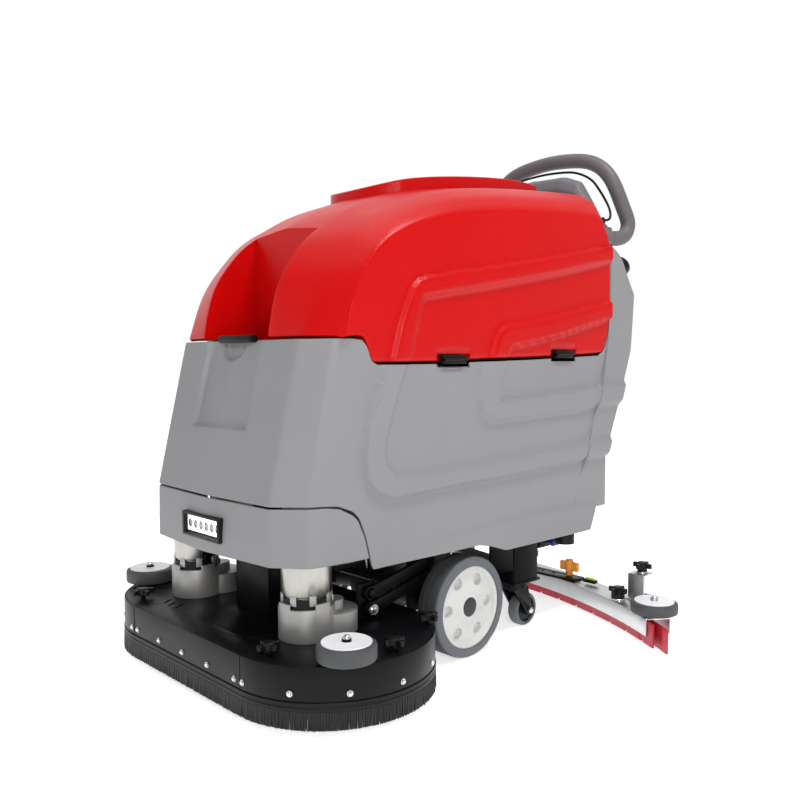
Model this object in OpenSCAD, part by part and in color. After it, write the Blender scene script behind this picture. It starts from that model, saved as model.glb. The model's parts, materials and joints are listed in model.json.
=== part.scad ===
// Walk-behind floor scrubber with two disc brushes.
// Millimetres. +Z is up, -Y is the front, and x = 0 is the middle of the machine.
// Modules are drawn with y counted from the front of the brush deck; at_origin()
// then moves the machine so that y = 0 is the middle of its length.

/* [Brush deck] */
// Diameter of each brush where it touches the floor
brush_d = 378; // [374:1:379]
// Distance from the middle of the machine to each brush centre
brush_x = 191.5; // [191:0.5:192]
// Radius of the rounded ends of the deck
deck_r = 190.9; // [190:0.1:192]
// Height of the top of the deck plate
deck_top = 112; // [110:1:114]
// Thickness of the deck plate and of its side band
deck_t = 3; // [2:0.5:4]
// Height of the lower edge of the side band
band_low = 55; // [52:1:58]
// Outer diameter of the rubbing rollers
roller_d = 100; // [90:1:104]
// Height of a rubbing roller
roller_h = 26; // [20:1:28]

/* [Wheels] */
// Diameter of the drive wheels
wheel_d = 205; // [200:1:206]
// Width of the drive wheels
wheel_w = 56; // [48:1:57]
// Distance from the middle to the outer face of a drive wheel
wheel_face_x = 266; // [264:1:270]
// Distance of the drive axle behind the front of the deck
axle_y = 492.5; // [488:0.5:497]
// Diameter of the castor wheels
castor_d = 75; // [70:1:76]
// Horizontal distance from castor pivot to castor axle
castor_trail = 32; // [28:1:34]

/* [Bodywork] */
// Half of the width of the body
body_x = 262; // [258:1:264]
// Wall thickness of the moulded covers
wall = 5; // [4:0.5:6]
// Gap between neighbouring covers
seam = 3; // [2:0.5:4]
// Height that the lid stands above the tank
lid_rise = 16; // [12:1:18]

/* [Handle] */
// Diameter of the handle tube
handle_d = 37; // [30:1:38]
// Diameter of the drive bail rod
bail_d = 6; // [5:0.5:7]

/* [Squeegee] */
// Radius of the front face of each squeegee arm
sq_r = 1150; // [1150:1:1151]
// Width of the squeegee channel
sq_w = 60; // [58:1:62]
// Height of the lower edge of the channel
sq_low = 20; // [18:1:22]
// Height of the top of the channel
sq_top = 57; // [56:1:58]
// Thickness of the rubber blades
blade_t = 4; // [3:0.5:5]

/* [Hidden] */
$fn = 64;

fit = 0.05;         // radial clearance of a running fit
bolt_head = 4;      // how far the front bolts stand out of the band
handle_r = handle_d / 2;
handle_back = 1138; // rearmost point of the handle's centre line
front_y = -bolt_head;
rear_y = handle_back + handle_r;
mid_y = (front_y + rear_y) / 2;

deck_mid_y = deck_r;
deck_pivot = [283, 130];     // y, z of the lower link's pin on the deck
link_rear = [440, 165];      // y, z of the lower link's pin on the chassis
upper_rise = 30;             // height of the upper link above the lower one
link_x = 190;                // inner face of the links
link_t = 10;
pin_r = 8;

motor_pos = [191, 139];      // x, y of a brush motor
motor_r = 45;
gearcase_top = 152;
motor_low = 178;
motor_high = 282;
column_y = 175;

roller_pos = [338.5, 108.5]; // x, y of a front roller
castor_pos = [205, 700];     // x, y of a castor pivot
castor_plate_z = 108;

hinge_pos = [268, 443.5, 600];  // middle of the front hinge of the hood
hinge_gap_y = 360;              // distance between the two hinges
hinge_tilt = atan(12 / hinge_gap_y);
hinge_l = 90;
hinge_pin_r = 3;

sq_centre = [-130, -174.4];  // centre of the arc that the front face of the right arm follows
rear_centre = [-200, -227.6];
rear_r = 1251.7;
sq_end = 31.8;               // angle at which the channel is cut off
cuff_y = 1003;
cuff_r = 20;
arm_pivot = [655, 165];      // y, z of the squeegee lift pivot
sq_roller_pos = [466.2, 855.6];
jack_pos = [385, 944];
knob_pos = [172, 962];

// ---------------------------------------------------------------- helpers

module at_origin() { translate([0, -mid_y, 0]) children(); }
module mirrored() {
    children();
    mirror([1, 0, 0]) children();
}
module side(s) { if (s > 0) children(); else mirror([1, 0, 0]) children(); }
// extrudes an outline given in (y, z) along x, from x0 to x1
module along_x(x0, x1) {
    translate([x0, 0, 0]) rotate([90, 0, 90]) linear_extrude(height = x1 - x0) children();
}
module rod_x(y, z, x0, x1, r) { translate([x0, y, z]) rotate([0, 90, 0]) cylinder(h = x1 - x0, r = r); }

// a closed skin through rings that lie in planes of constant x: xs[i] is the plane of rings[i]
module skin_x(xs, rings) {
    n = len(rings[0]);
    m = len(rings);
    pts = [for (i = [0:m - 1], p = rings[i]) [xs[i], p[0], p[1]]];
    quads = [for (i = [0:m - 2], j = [0:n - 1])
        let (a = i * n + j, b = i * n + (j + 1) % n) each [[a, b, a + n], [b, b + n, a + n]]];
    cap0 = [for (j = [n - 1:-1:0]) j];
    cap1 = [for (j = [0:n - 1]) (m - 1) * n + j];
    polyhedron(points = pts, faces = concat(quads, [cap0], [cap1]), convexity = 6);
}
function unit(v) = v / norm(v);
function tangent(p, i) = unit(p[min(i + 1, len(p) - 1)] - p[max(i - 1, 0)]);
// a round tube swept along the points of p, with n sides
module swept(p, r, n) {
    start = [0, 0, 1] - tangent(p, 0) * tangent(p, 0)[2];
    normals = [for (i = 0, v = unit(start); i < len(p); i = i + 1,
        v = i < len(p) ? unit(v - tangent(p, i) * (v * tangent(p, i))) : v) v];
    pts = [for (i = [0:len(p) - 1]) let (t = tangent(p, i), u = normals[i], w = cross(t, u))
        for (k = [0:n - 1]) p[i] + r * (cos(360 * k / n) * u + sin(360 * k / n) * w)];
    quads = [for (i = [0:len(p) - 2], k = [0:n - 1])
        let (a = i * n + k, b = i * n + (k + 1) % n) each [[a, a + n, b], [b, a + n, b + n]]];
    cap0 = [for (k = [0:n - 1]) k];
    cap1 = [for (k = [n - 1:-1:0]) (len(p) - 1) * n + k];
    polyhedron(points = pts, faces = concat(quads, [cap0], [cap1]), convexity = 6);
}
// points of a smooth curve through the given points, n per span
function spline(p, n) = concat([for (i = [0:len(p) - 2], k = [0:n - 1])
    let (a = p[max(i - 1, 0)], b = p[i], c = p[i + 1], d = p[min(i + 2, len(p) - 1)], t = k / n)
    0.5 * (2 * b + (c - a) * t + (2 * a - 5 * b + 4 * c - d) * t * t + (3 * b - a - 3 * c + d) * t * t * t)],
    [p[len(p) - 1]]);

// a star knob with lobes arms, its hub at z = 0
module star_knob(r, h, lobes) {
    cylinder(h = h, r = r * 0.45);
    for (i = [0:lobes - 1]) rotate(i * 360 / lobes) {
        translate([0, -r * 0.2, h * 0.25]) cube([r * 0.82, r * 0.4, h * 0.6]);
        translate([r * 0.8, 0, h * 0.25]) cylinder(h = h * 0.6, r = r * 0.22);
    }
}

// ---------------------------------------------------------------- bodywork outlines
// Each column holds the (y, z) profile of the body at one distance x from the middle.

body_cols = [0, 193, 250, body_x, body_x + 6];   // the last column lies outside the cut sides
body_front = [
    [[42, 190], [42, 286], [50, 352], [73, 479], [113, 640], [113, 880]],
    [[58, 190], [58, 286], [59, 352], [88, 479], [125, 640], [125, 880]],
    [[100, 190], [104, 286], [110, 352], [133, 479], [165, 640], [165, 880]],
    [[180, 190], [185, 286], [190, 352], [200, 479], [212, 640], [212, 880]]];
body_rear = [[1125, 880], [1127, 760], [1115, 624], [1064, 496], [1008, 370], [980, 288], [938, 190]];
rear_step = [0, -6, -18, -30];
function body_ring(i) = let (k = min(i, 3)) concat(body_front[k], [for (p = body_rear) p + [rear_step[k], 0]]);
function both(v, sign) = concat([for (i = [len(v) - 1:-1:1]) sign * v[i]], v);
function both_rings(f, n) = concat([for (i = [n - 1:-1:1]) f(i)], [for (i = [0:n - 1]) f(i)]);
module body_skin() {
    skin_x(both(body_cols, -1), both_rings(function (i) body_ring(i), len(body_cols)));
}
function shrunk(ring, centre, k) = [for (p = ring) [centre[0] + (p[0] - centre[0]) * k[0],
    centre[1] + (p[1] - centre[1]) * k[1]]];
module body_inner() {
    skin_x(both(body_cols, -1) * (1 - wall / body_x),
        both_rings(function (i) shrunk(body_ring(i), [560, 500], [0.99, 0.99]), len(body_cols)));
}

// the line where hood and body meet, front to back, in (y, z)
seam_line = [[90, 636], [209, 638], [221, 625], [232, 599], [246, 592], [404, 593], [519, 597],
    [680, 601], [788, 605], [940, 611], [966, 624], [984, 668], [987, 742], [987, 871.5]];
module below_seam() {
    polygon(concat([[0, 0], [0, 636]], [for (p = seam_line) p - [0, seam / 2]],
        [[996, 870], [1037, 845], [1080, 783], [1150, 740], [1150, 0]]));
}
module above_seam() {
    polygon(concat([for (p = seam_line) p + [p[1] > 620 && p[0] > 900 ? -seam : 0, seam / 2]],
        [[984, 1200], [0, 1200], [0, 636 + seam / 2]]));
}
// the line where the front cover meets the body, in (y, z)
bumper_line = [[30, 350], [150, 351], [180, 343], [202, 322], [217, 288], [227, 250], [233, 222]];

hood_cols = [0, 114, 200, 238, body_x];
hood_profile = [
    [[112, 560], [112, 640], [123, 702], [140, 751], [165, 790], [193, 822], [232, 853], [300, 893],
     [370, 925], [460, 953], [600, 975], [780, 995], [931, 1003], [966, 1003], [984, 880], [984, 560]],
    [[118, 560], [118, 647], [131, 702], [149, 749], [177, 789], [204, 819], [239, 846], [305, 890],
     [375, 921], [463, 947], [600, 970], [780, 990], [931, 1001], [966, 1001], [984, 880], [984, 560]],
    [[134, 560], [135, 645], [157, 702], [182, 750], [211, 790], [247, 831], [290, 864], [340, 887],
     [410, 915], [500, 941], [620, 961], [790, 980], [931, 992], [964, 993], [984, 880], [984, 560]],
    [[158, 560], [159, 648], [177, 702], [200, 750], [230, 791], [256, 820], [291, 848], [345, 873],
     [420, 899], [508, 921], [630, 940], [790, 957], [928, 968], [960, 962], [984, 875], [984, 560]],
    [[174, 560], [174, 650], [190, 702], [213, 752], [242, 791], [264, 810], [292, 828], [350, 855],
     [430, 878], [520, 895], [640, 911], [790, 926], [925, 935], [952, 927], [978, 880], [984, 560]]];
module hood_skin() {
    skin_x(both(hood_cols, -1), both_rings(function (i) hood_profile[i], len(hood_cols)));
}
module hood_inner() {
    skin_x(both(hood_cols, -1) * (1 - wall / body_x),
        both_rings(function (i) shrunk(hood_profile[i], [560, 640], [0.987, 0.983]), len(hood_cols)));
}
scoop_x = 114;    // half width of the recess in the front of the hood
scoop_y = 239;    // depth of the back wall of that recess
module scoop(extra) {
    linear_extrude(height = 1200) polygon([[-scoop_x - extra, 0], [scoop_x + extra, 0],
        [scoop_x + extra, 118], [scoop_x - 10 + extra, scoop_y + extra],
        [-scoop_x + 10 - extra, scoop_y + extra], [-scoop_x - extra, 118]]);
}

// ---------------------------------------------------------------- chassis

module chassis_frame() {
    color("#202124") at_origin() {
        mirrored() {
            translate([110, 245, 196]) cube([30, 655, 34]);                 // rail
            difference() {                                                   // axle plate
                translate([140, 430, 80]) cube([8, 125, 150]);
                rod_x(axle_y, wheel_d / 2, 130, 160, 30.3);
            }
            difference() {                                                   // link lugs
                union() {
                    along_x(link_x - link_t - 2, link_x - 2)
                        polygon([[418, 143], [462, 143], [462, 230], [418, 230]]);
                    translate([140, 418, 218]) cube([link_x - 142, 44, 12]);
                }
                rod_x(link_rear[0], link_rear[1], 150, 220, pin_r - 0.5);
                rod_x(link_rear[0], link_rear[1] + upper_rise, 150, 220, pin_r - 0.5);
            }
            for (dz = [0, upper_rise])                                       // link pins
                rod_x(link_rear[0], link_rear[1] + dz, link_x - link_t - 2, link_x + link_t + 3, pin_r);
            translate([castor_pos[0] - 40, castor_pos[1] - 45, castor_plate_z]) cube([80, 90, 6]);
            translate([castor_pos[0] - 38, castor_pos[1] - 40, castor_plate_z]) cube([6, 80, 84]);
            translate([castor_pos[0] + 30, castor_pos[1] - 40, castor_plate_z]) cube([6, 80, 84]);
            translate([110, castor_pos[1] - 40, 190]) cube([131, 80, 6]);
            translate([castor_pos[0], castor_pos[1], castor_plate_z - 22]) cylinder(h = 24, r = 8); // king pin
            translate([castor_pos[0], castor_pos[1], castor_plate_z - 24]) cylinder(h = 3, r = 12);
            difference() {                                                   // squeegee arm ears
                along_x(28, 36) polygon([[630, 150], [675, 143], [690, 196], [620, 196]]);
                rod_x(arm_pivot[0], arm_pivot[1], 20, 40, pin_r - 0.5);
            }
        }
        rod_x(arm_pivot[0], arm_pivot[1], -38, 38, pin_r);
        for (y = [250, 560, 620, 860]) translate([-110, y, 204]) cube([220, 36, 26]);
        translate([-36, 612, 196]) cube([72, 84, 10]);
    }
}

module transaxle() {
    color("#3a3c40") at_origin() {
        z = wheel_d / 2;
        difference() {
            union() {
                rod_x(axle_y, z, -190, 190, 30);
                rod_x(axle_y, z, -46, 46, 56);
                translate([0, axle_y + 30, z]) rotate([-90, 0, 0]) cylinder(h = 70, r = 40);
                translate([-50, axle_y - 34, z + 40]) cube([100, 68, 50]);
            }
            rod_x(axle_y, z, 120, 191, 12 + fit);
            rod_x(axle_y, z, -191, -120, 12 + fit);
        }
    }
}

module drive_tyre(s) {
    color("#6b6d72") at_origin() side(s) translate([wheel_face_x - wheel_w, axle_y, wheel_d / 2]) rotate([0, 90, 0])
        rotate_extrude($fn = 96) polygon([[83, 0], [wheel_d / 2 - 4, 0], [wheel_d / 2, 4],
            [wheel_d / 2, wheel_w - 5], [wheel_d / 2 - 5, wheel_w], [83, wheel_w]]);
}
module drive_tyre_left() { drive_tyre(1); }
module drive_tyre_right() { drive_tyre(-1); }
module drive_hub(s) {
    color("#c9c9c7") at_origin() side(s) translate([wheel_face_x - wheel_w, axle_y, wheel_d / 2]) rotate([0, 90, 0])
        difference() {
            rotate_extrude($fn = 96) polygon([[0, 14], [30, 14], [70, 20], [74, 2], [83, 2], [83, wheel_w - 3],
                [76, wheel_w - 3], [72, wheel_w - 12], [34, wheel_w - 8], [30, wheel_w - 5], [0, wheel_w - 5]]);
            for (i = [0:5]) rotate(i * 60 + 30) translate([58, 0, wheel_w - 20]) cylinder(h = 30, r = 12);
        }
    color("#9a9ba0") at_origin() side(s) rod_x(axle_y, wheel_d / 2, 130, wheel_face_x - 30, 12);
}
module drive_hub_left() { drive_hub(1); }
module drive_hub_right() { drive_hub(-1); }

module castor_fork(s) {
    color("#1c1c1e") at_origin() side(s) translate([castor_pos[0], castor_pos[1], 0]) {
        axle_z = castor_d / 2;
        difference() {
            union() {
                translate([0, 0, castor_plate_z - 14]) cylinder(h = 13, r = 30);
                for (x = [-22, 17]) translate([x, 0, 0]) along_x(0, 5) polygon([[-22, 96], [24, 96],
                    [castor_trail + 10, axle_z], [castor_trail + 6, axle_z - 10],
                    [castor_trail - 8, axle_z - 10], [-4, 70]]);
                translate([-22, -22, 90]) cube([44, 46, 6]);
            }
            translate([0, 0, 60]) cylinder(h = 60, r = 8 + fit);
            translate([0, 0, 60]) cylinder(h = castor_plate_z - 20.5 - 60, r = 13);
            rod_x(castor_trail, axle_z, -40, 40, 5);
        }
    }
    color("#8b8d92") at_origin() side(s) translate([castor_pos[0], castor_pos[1], 0])
        rod_x(castor_trail, castor_d / 2, -25, 25, 5);
}
module castor_fork_left() { castor_fork(1); }
module castor_fork_right() { castor_fork(-1); }
module castor_wheel(s) {
    color("#55575c") at_origin() side(s)
        translate([castor_pos[0] - 14, castor_pos[1] + castor_trail, castor_d / 2]) rotate([0, 90, 0])
        rotate_extrude($fn = 72) polygon([[5 + fit, -1], [14, -1], [14, 3], [26, 3], [28, 0], [34, 0], [castor_d / 2, 6],
            [castor_d / 2, 22], [34, 28], [28, 28], [26, 25], [14, 25], [14, 29], [5 + fit, 29]]);
}
module castor_wheel_left() { castor_wheel(1); }
module castor_wheel_right() { castor_wheel(-1); }

// ---------------------------------------------------------------- grey body

filler_at = [226, 1058.5, 814];  // middle of the filler neck on the rear slope
filler_tilt = -55.1;
module on_slope() { translate(filler_at) rotate([filler_tilt, 0, 0]) children(); }
module body_profile() {
    difference() {
        below_seam();
        polygon([[-10, 225], [515, 225], [552, 217], [601, 201], [919, 199], [1200, 199], [1200, 0], [-10, 0]]);
        polygon(concat([[-10, 350]], bumper_line, [[233, 0], [-10, 0]]));
    }
}
module solution_tank() {
    bay = [200, 235, 905, 250];     // half width, front, rear and floor of the battery bay
    color("#8e9094") at_origin() difference() {
        union() {
            intersection() {
                body_skin();
                along_x(-body_x, body_x) body_profile();
            }
            on_slope() translate([0, 0, -6]) cylinder(h = 20, r = 22);       // filler neck
        }
        difference() {                                                       // water jacket
            intersection() {
                body_inner();
                along_x(wall - body_x, body_x - wall) polygon([[40, 358], [238, 358], [238, 242], [1200, 242],
                    [1200, 700], [1060, 790], [1030, 830], [992, 860], [992, 600],
                    [940, 590], [246, 575], [215, 610], [40, 620]]);
            }
            translate([-bay[0] - wall, bay[1] - wall, 200]) cube([2 * bay[0] + 2 * wall, bay[2] - bay[1] + 2 * wall, 800]);
            translate([-300, 0, 575]) cube([600, 990, 60]);
        }
        translate([-bay[0], bay[1], bay[3]]) cube([2 * bay[0], bay[2] - bay[1], 500]);       // battery bay
        translate([-205, 234, 0]) cube([410, 674, 236]);                     // tunnel for the chassis
        translate([-248, 0, 0]) cube([496, 231, 349]);                       // room for the brush motors
        on_slope() translate([0, 0, -30]) cylinder(h = 60, r = 17);
        hull() {                                                             // panel pressed into the front
            for (x = [-89, 89]) translate([x, 96, 630]) cube([1, 24, 1], center = true);
            for (x = [-92, 92]) translate([x, 64, 474]) cube([1, 26, 1], center = true);
        }
        along_x(-34, 34) polygon([[80, 622], [136, 622], [136, 660], [80, 660]]);   // finger room under the hood
        translate([0, 1000, 330]) rotate([-90, 0, 0]) cylinder(h = 90, r = 20, center = true);
        for (k = [0, 1]) translate(hinge_pos + [0, k * hinge_gap_y, k * 12]) rotate([hinge_tilt, 0, 0])
            translate([-11, -hinge_l / 2 - 1, -12]) cube([12, hinge_l + 2, 30]);
    }
}

module bumper_cover() {
    color("#96989c") at_origin() difference() {
        intersection() {
            body_skin();
            along_x(-body_x, body_x) polygon(concat([[-10, 350 - seam]], [for (i = [0:5]) bumper_line[i] - [seam, seam]],
                [[-10, 247]]));
        }
        difference() {
            intersection() {
                translate([0, wall, -wall]) body_inner();
                translate([wall - body_x, 0, 0]) cube([2 * (body_x - wall), 600, 342]);
            }
        }
        translate([-250, 120, 0]) cube([500, 300, 342]);
        translate([-66, 0, 270]) cube([132, 80, 46]);
    }
}
module light_housing() {
    color("#1a1a1c") at_origin() difference() {
        translate([-65.5, 40, 270.5]) cube([131, 34, 45]);
        translate([-58, 30, 276]) cube([116, 20, 34]);
        translate([-58, 40, 278]) cube([116, 28, 30]);
    }
}
module light_lens() {
    color("#e8eef2") at_origin() {
        translate([-57.5, 44, 278.5]) cube([115, 3, 29]);
        for (i = [0:5]) translate([-47.5 + i * 19, 47, 293]) rotate([-90, 0, 0]) cylinder(h = 18, r = 8);
    }
}
module battery_pack() {
    color("#2b2d33") at_origin() for (i = [0, 1], j = [0, 1])
        translate([i * 190 - 187, 262 + j * 250, 250.5]) {
            cube([182, 240, 250]);
            for (k = [35, 205]) translate([91, k, 250]) cylinder(h = 14, r = 9);
        }
}
module vacuum_motor() {
    color("#7a7c80") at_origin() translate([0, 836, 250.5]) {
        cylinder(h = 70, r = 66);
        translate([0, 0, 70]) cylinder(h = 100, r = 52);
        translate([0, 0, 170]) cylinder(h = 40, r = 22);
        translate([40, -18, 10]) cube([70, 36, 46]);
    }
}
module filler_cap() {
    color("#141416") at_origin() on_slope() translate([0, 0, 5]) difference() {
        cylinder(h = 32, r = 26);
        translate([0, 0, -1]) cylinder(h = 11, r = 22.5);
    }
}
module hood_hinges() {
    color("#17181a") at_origin() for (k = [0, 1]) translate(hinge_pos + [0, k * hinge_gap_y, k * 12])
        rotate([hinge_tilt, 0, 0]) {
            for (y = [-hinge_l / 2, hinge_l / 2 - 30]) translate([0, y, 0]) {
                translate([-10, 0, -5]) cube([10, 30, 10]);
                translate([-10, 0, -11]) cube([6, 30, 12]);
                rotate([-90, 0, 0]) cylinder(h = 30, r = 5);
            }
            translate([0, -hinge_l / 2 - 3, 0]) rotate([-90, 0, 0]) cylinder(h = hinge_l + 6, r = hinge_pin_r);
        }
}

// ---------------------------------------------------------------- hood and lid

lid_half = 150;
lid_front = 380;
lid_rear = 948;
lid_corner = 110;
mouth_half = 110;
mouth_front = 430;
mouth_rear = 900;
lid_pivot = [955, 1012];
module lid_plan(inset) {
    r = lid_corner - inset;
    for (y = [lid_front + lid_corner, lid_rear - lid_corner], x = [-1, 1] * (lid_half - lid_corner))
        translate([x, y]) circle(r = r);
    translate([-lid_half + inset, lid_front + lid_corner]) square([2 * (lid_half - inset), lid_rear - lid_front - 2 * lid_corner]);
    translate([-lid_half + lid_corner, lid_front + inset]) square([2 * (lid_half - lid_corner), lid_rear - lid_front - 2 * inset]);
}
lid_under = [for (i = [6:13]) hood_profile[0][i] + [0, 1.5]];
module tank_lid() {
    color("#c8151b") at_origin() {
        intersection() {
            linear_extrude(height = 1200) lid_plan(0);
            along_x(-200, 200) polygon(concat(lid_under, [for (i = [len(lid_under) - 1:-1:0]) lid_under[i] + [0, lid_rise]]));
        }
        for (x = [-70, 50]) difference() {
            union() {
                rod_x(lid_pivot[0], lid_pivot[1], x, x + 20, 6);
                translate([x, 935, 1006]) cube([20, 20, 12]);
            }
            rod_x(lid_pivot[0], lid_pivot[1], x - 1, x + 21, 3 + fit);
        }
    }
}
module recovery_tank() {
    color("#d4151b") at_origin() {
        difference() {
            intersection() {
                hood_skin();
                along_x(-300, 300) above_seam();
            }
            difference() {
                intersection() {
                    hood_inner();
                    along_x(-300, 300) polygon([[100, 650], [215, 650], [240, 612], [935, 625], [978, 690],
                        [978, 1200], [100, 1200]]);
                }
                scoop(wall);
            }
            scoop(0);
            translate([0, 0, 800]) linear_extrude(height = 300) intersection() {
                translate([-mouth_half, mouth_front]) square([2 * mouth_half, mouth_rear - mouth_front]);
                lid_plan(30);
            }
            for (k = [0, 1]) translate(hinge_pos + [0, k * hinge_gap_y, k * 12]) rotate([hinge_tilt, 0, 0])
                translate([-13, -hinge_l / 2 - 2, -30]) cube([14, hinge_l + 4, 38]);
        }
        for (k = [0, 1]) translate(hinge_pos + [0, k * hinge_gap_y, k * 12]) rotate([hinge_tilt, 0, 0])
            difference() {
                union() {
                    rotate([-90, 0, 0]) translate([0, 0, -hinge_l / 2 + 31]) cylinder(h = hinge_l - 62, r = 5);
                    translate([-14, -hinge_l / 2 + 31, 0]) cube([14, hinge_l - 62, 16]);
                }
                rotate([-90, 0, 0]) cylinder(h = 200, r = hinge_pin_r + fit, center = true);
            }
        for (x = [-80, 71]) {                                                // ears that hold the lid's pin
            translate([x, 948, 990]) cube([9, 14, 28]);
        }
        rod_x(lid_pivot[0], lid_pivot[1], -80, 80, 3);
    }
}
module float_cage() {
    color("#d9dadc") at_origin() translate([0, 840, 0]) {
        difference() {
            translate([0, 0, 812]) cylinder(h = 165, r = 40);
            translate([0, 0, 816]) cylinder(h = 170, r = 36);
            for (a = [0, 60, 120]) rotate(a) translate([-60, -9, 830]) cube([120, 18, 100]);
        }
        translate([0, 0, 850]) sphere(r = 26);
        translate([0, 0, 816]) cylinder(h = 30, r = 5);
    }
}

// ---------------------------------------------------------------- console and handle

module console_housing() {
    color("#83858a") at_origin() difference() {
        union() {
            skin_x([-188, -176, -146, -100, 0, 100, 146, 176, 188], [
                for (x = [-188, -176, -146, -100, 0, 100, 146, 176, 188]) let (a = abs(x),
                    top = a > 180 ? 968 : a > 160 ? 996 : a > 140 ? 1046 : a > 90 ? 1064 : 1068,
                    front = a > 160 ? 1004 : 1000 + (a > 140 ? 2 : 0))
                    [[front, 874], [front, top - 34], [front + 10, top - 10], [front + 32, top],
                     [1072, top - 34], [1112, 948 - (a > 160 ? 12 : 0)], [1112, a > 140 ? 868 : 850],
                     [1060, a > 140 ? 874 : 822], [1040, 874]]]);
            mirrored() rod_x(bail_pivot[0], bail_pivot[1], 180, 216, 4);
            mirrored() difference() {
                translate([208, 1004, 901]) rotate([-90, 0, 0]) cylinder(h = 44, r = 25);
                translate([150, 980, 860]) cube([120, 100, 16]);
            }
        }
        mirrored() translate([208, 990, 901]) rotate([-90, 0, 0]) cylinder(h = 70, r = handle_r + 2.8);
        translate([-160, 1020, 860]) cube([320, 60, 80]);
        on_panel() for (c = controls) translate([c[0], 0, -12]) cylinder(h = 14, r = c[1] + 1);
    }
}
panel_at = [0, 1093.5, 992];
panel_tilt = -65;
controls = [[-76, 9], [-34, 11], [76, 6]];   // x and shaft radius of key, stop button and dial
module on_panel() { translate(panel_at) rotate([panel_tilt, 0, 0]) children(); }
module console_panel() {
    color("#1b1c1f") at_origin() on_panel() difference() {
        translate([-98, -31, 0.3]) cube([196, 60, 4]);
        for (c = controls) translate([c[0], 0, -10]) cylinder(h = 20, r = c[1] + fit);
    }
}
module key_switch() {
    color("#b0b2b6") at_origin() on_panel() translate([controls[0][0], 0, -4]) {
        cylinder(h = 14, r = 9);
        translate([-2, -12, 14]) cube([4, 24, 20]);
    }
}
module stop_button() {
    color("#c01018") at_origin() on_panel() translate([controls[1][0], 0, -4]) {
        cylinder(h = 16, r = 11);
        translate([0, 0, 16]) cylinder(h = 12, r = 19);
    }
}
module speed_dial() {
    color("#2a2b2f") at_origin() on_panel() translate([controls[2][0], 0, -4]) {
        cylinder(h = 12, r = 6);
        translate([0, 0, 12]) cylinder(h = 15, r = 15);
        translate([-1.5, 0, 12]) cube([3, 15, 17]);
    }
}
handle_half = [[208, 1006, 901], [210, 1050, 901], [212, 1090, 903], [214, 1118, 911], [215, 1135, 929],
    [214, handle_back, 952], [208, 1125, 985], [196, 1105, 1036], [178, 1100, 1068], [152, 1100, 1092],
    [118, 1100, 1109], [70, 1100, 1119], [0, 1100, 1124]];
function mirror_path(h) = concat([for (p = h) [-p[0], p[1], p[2]]], [for (i = [len(h) - 2:-1:0]) h[i]]);
module handle_loop() { color("#66686d") at_origin() swept(spline(mirror_path(handle_half), 2), handle_r, 14); }
bail_pivot = [1030, 940];
bail_half = [[210.5, 1058, 947], [204, 1074, 964], [188, 1086, 990], [166, 1082, 1028], [145, 1076, 1056],
    [110, 1072, 1076], [70, 1070, 1085], [0, 1070, 1089]];
module drive_bail() {
    color("#0e0e10") at_origin() {
        swept(spline(mirror_path(bail_half), 2), bail_d / 2, 8);
        mirrored() difference() {
            along_x(207.5, 213.5) polygon([[1020, 931], [1040, 931], [1063, 941], [1063, 953], [1040, 950], [1020, 950]]);
            rod_x(bail_pivot[0], bail_pivot[1], 200, 230, 4 + fit);
        }
    }
}

// ---------------------------------------------------------------- deck lift

module link_pair(rise) {
    rest = [deck_pivot[0], deck_pivot[1] + rise];
    back = [link_rear[0], link_rear[1] + rise];
    tilt = atan2(back[1] - rest[1], back[0] - rest[0]);
    long = norm(back - rest);
    mirrored() difference() {
        union() {
            rod_x(rest[0], rest[1], link_x, link_x + link_t, 14);
            rod_x(back[0], back[1], link_x, link_x + link_t, 14);
            translate([link_x + 1, rest[0], rest[1]]) rotate([tilt, 0, 0]) translate([0, 0, -11]) cube([link_t - 2, long, 22]);
        }
        rod_x(rest[0], rest[1], link_x - 1, link_x + link_t + 1, pin_r + (rise > 0 ? 2 : fit));
        rod_x(back[0], back[1], link_x - 1, link_x + link_t + 1, pin_r + fit);
    }
}
module lower_links() {
    color("#1d1e20") at_origin() {
        link_pair(0);
        rod_x(400, 146, -link_x - 3, link_x + 3, 9);
    }
}
module upper_links() { color("#1d1e20") at_origin() link_pair(upper_rise); }
module lift_actuator() {
    color("#2c2e33") at_origin() {
        translate([0, column_y, 215]) difference() {
            cylinder(h = 120, r = 17);
            translate([0, 0, -1]) cylinder(h = 100, r = 9 + fit);
        }
        translate([-12, column_y + 12, 296]) cube([24, 40, 26]);
        translate([-12, column_y + 49, 205]) cube([24, 6, 117]);             // bracket down to the cross beam
        translate([-30, column_y + 49, 205]) cube([60, 25.7, 18]);
    }
}
module actuator_rod() {
    color("#b4b6ba") at_origin() translate([0, column_y, 0]) {
        translate([0, 0, 132]) cylinder(h = 95, r = 9);
        rod_x(0, 132, -12, 12, 13);
    }
}

// ---------------------------------------------------------------- brush deck

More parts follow.
